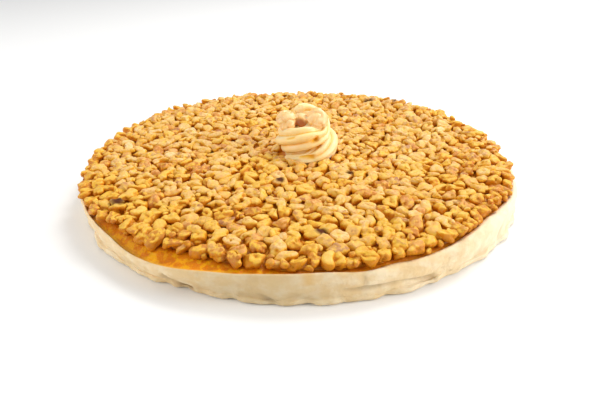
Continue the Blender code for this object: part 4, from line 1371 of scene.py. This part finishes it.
def cream_rosette():
    piece = joined_by_voxels("cream_swirl", [cream_rope(), cream_heart()], CREAM_VOXEL, 3, piped_cream())
    points, dark = pressed(mesh_points(piece.data))
    piece.data.vertices.foreach_set("co", points.ravel())
    piece.data.update()
    add_marks(piece.data, {"groove_shade": grooves(piece.data), "hollow_shade": dark})
    settle_piece(piece, "cream_rosette")


# Walnut half

def kernel_lump(centre, size, turn_degrees, parts, seed):
    """A lobe of the kernel with winding furrows."""
    ball, faces = round_ball(parts)
    depth, width, narrow = WALNUT_FURROWS
    furrow = smooth_step(1 - np.abs(relief(ball, width, seed)) * narrow) ** 2
    soft = 1 + WALNUT_SWELLS[0] * relief(ball, WALNUT_SWELLS[1], seed + 1) - depth * furrow
    points = ball * soft[:, None] * size + centre
    turned = np.array(Matrix.Rotation(math.radians(turn_degrees), 3, "Z"))
    return points @ turned.T, faces


def walnut_half():
    """Two furrowed lobes with a bridge between them, open to the front."""
    tilt = np.array(Matrix.Rotation(WALNUT_TILT, 3, "X"))
    lumps = [kernel_lump(*lump) for lump in WALNUT_LUMPS]
    parts = [(points @ tilt.T + WALNUT_PLACE, faces) for points, faces in lumps]
    piece = joined_by_voxels("walnut_kernel", parts, WALNUT_VOXEL, 2, walnut_kernel())
    # Painted shade in the dip between the lobes and in the furrows
    from_shade = (mesh_points(piece.data) - WALNUT_SHADE_PLACE) / WALNUT_SHADE_SIZE
    between = 1 - np.linalg.norm(from_shade, axis=1)
    furrow = np.maximum(FURROW_SHADE * grooves(piece.data), smooth_step(2 * between))
    add_marks(piece.data, {"furrow": furrow})
    settle_piece(piece, "walnut_half")


# Studio

def pale_floor():
    material, tree, shader = new_material("pale_floor")
    set_shader(tree, shader, Base_Color=(0.93, 0.93, 0.925, 1), Roughness=0.7, Specular_IOR_Level=0.2)
    corners = [(-1, -1, 0), (1, -1, 0), (1, 1, 0), (-1, 1, 0)]
    points = GROUND_HALF * np.array(corners) - (0, 0, GROUND_DROP)
    floor = new_piece("floor", points, np.array([[0, 1, 2], [0, 2, 3]]), material)


def soft_light(name, place, target, size, power, colour):
    light = bpy.data.lights.new(name, "AREA")
    light.shape = "DISK"
    light.size = size
    light.energy = power
    light.color = colour
    lamp = bpy.data.objects.new(name, light)
    bpy.context.scene.collection.objects.link(lamp)
    lamp.location = place
    lamp.rotation_euler = (Vector(target) - Vector(place)).to_track_quat("-Z", "Y").to_euler()


def studio():
    """Soft light: a sky that is brightest above and behind, a lamp there and one at each side."""
    world = bpy.data.worlds.new("soft_studio")
    world.use_nodes = True
    tree = world.node_tree
    tree.nodes.clear()
    direction = node(tree, "ShaderNodeTexCoord").outputs["Generated"]
    height = node(tree, "ShaderNodeVectorMath", {0: direction, 1: SKY_BRIGHTEST},
                  operation="DOT_PRODUCT").outputs["Value"]
    strength = node(tree, "ShaderNodeMapRange", {"Value": height, "From Min": -0.6, "From Max": 0.9,
                                                 "To Min": SKY[0], "To Max": SKY[1]})
    background = node(tree, "ShaderNodeBackground", {"Strength": strength.outputs[0]})
    output = node(tree, "ShaderNodeOutputWorld")
    tree.links.new(background.outputs[0], output.inputs["Surface"])
    bpy.context.scene.world = world
    for name, settings in LAMPS.items():
        soft_light(name, *settings)
    bpy.context.scene.view_settings.view_transform = "Standard"


def swung(first, second, angle):
    """Two directions at right angles, the first of them turned towards the second."""
    cos, sin = math.cos(angle), math.sin(angle)
    return first * cos + second * sin, second * cos - first * sin


def camera():
    """The camera stands in front of the cake and a little above it, turned by small angles."""
    place = CAMERA_AWAY * Vector((0, -math.cos(CAMERA_ELEVATION), math.sin(CAMERA_ELEVATION)))
    ahead, right = -place.normalized(), Vector((1, 0, 0))
    up = right.cross(ahead)
    ahead, up = swung(ahead, up, CAMERA_PITCH)
    ahead, right = swung(ahead, right, CAMERA_YAW)
    right, up = swung(right, up, CAMERA_ROLL)
    data = bpy.data.cameras.new("camera")
    data.sensor_width = SENSOR
    data.lens = FOCAL_PIXELS * SENSOR / PICTURE_WIDTH
    data.clip_start = 0.01
    view = bpy.data.objects.new("camera", data)
    bpy.context.scene.collection.objects.link(view)
    turned = Matrix((right, up, -ahead)).transposed().to_4x4()
    turned.translation = place
    view.matrix_world = turned
    bpy.context.scene.camera = view


camera()
studio()
pale_floor()
pastry_case()
honey_filling()
nut_topping()
cream_rosette()
walnut_half()
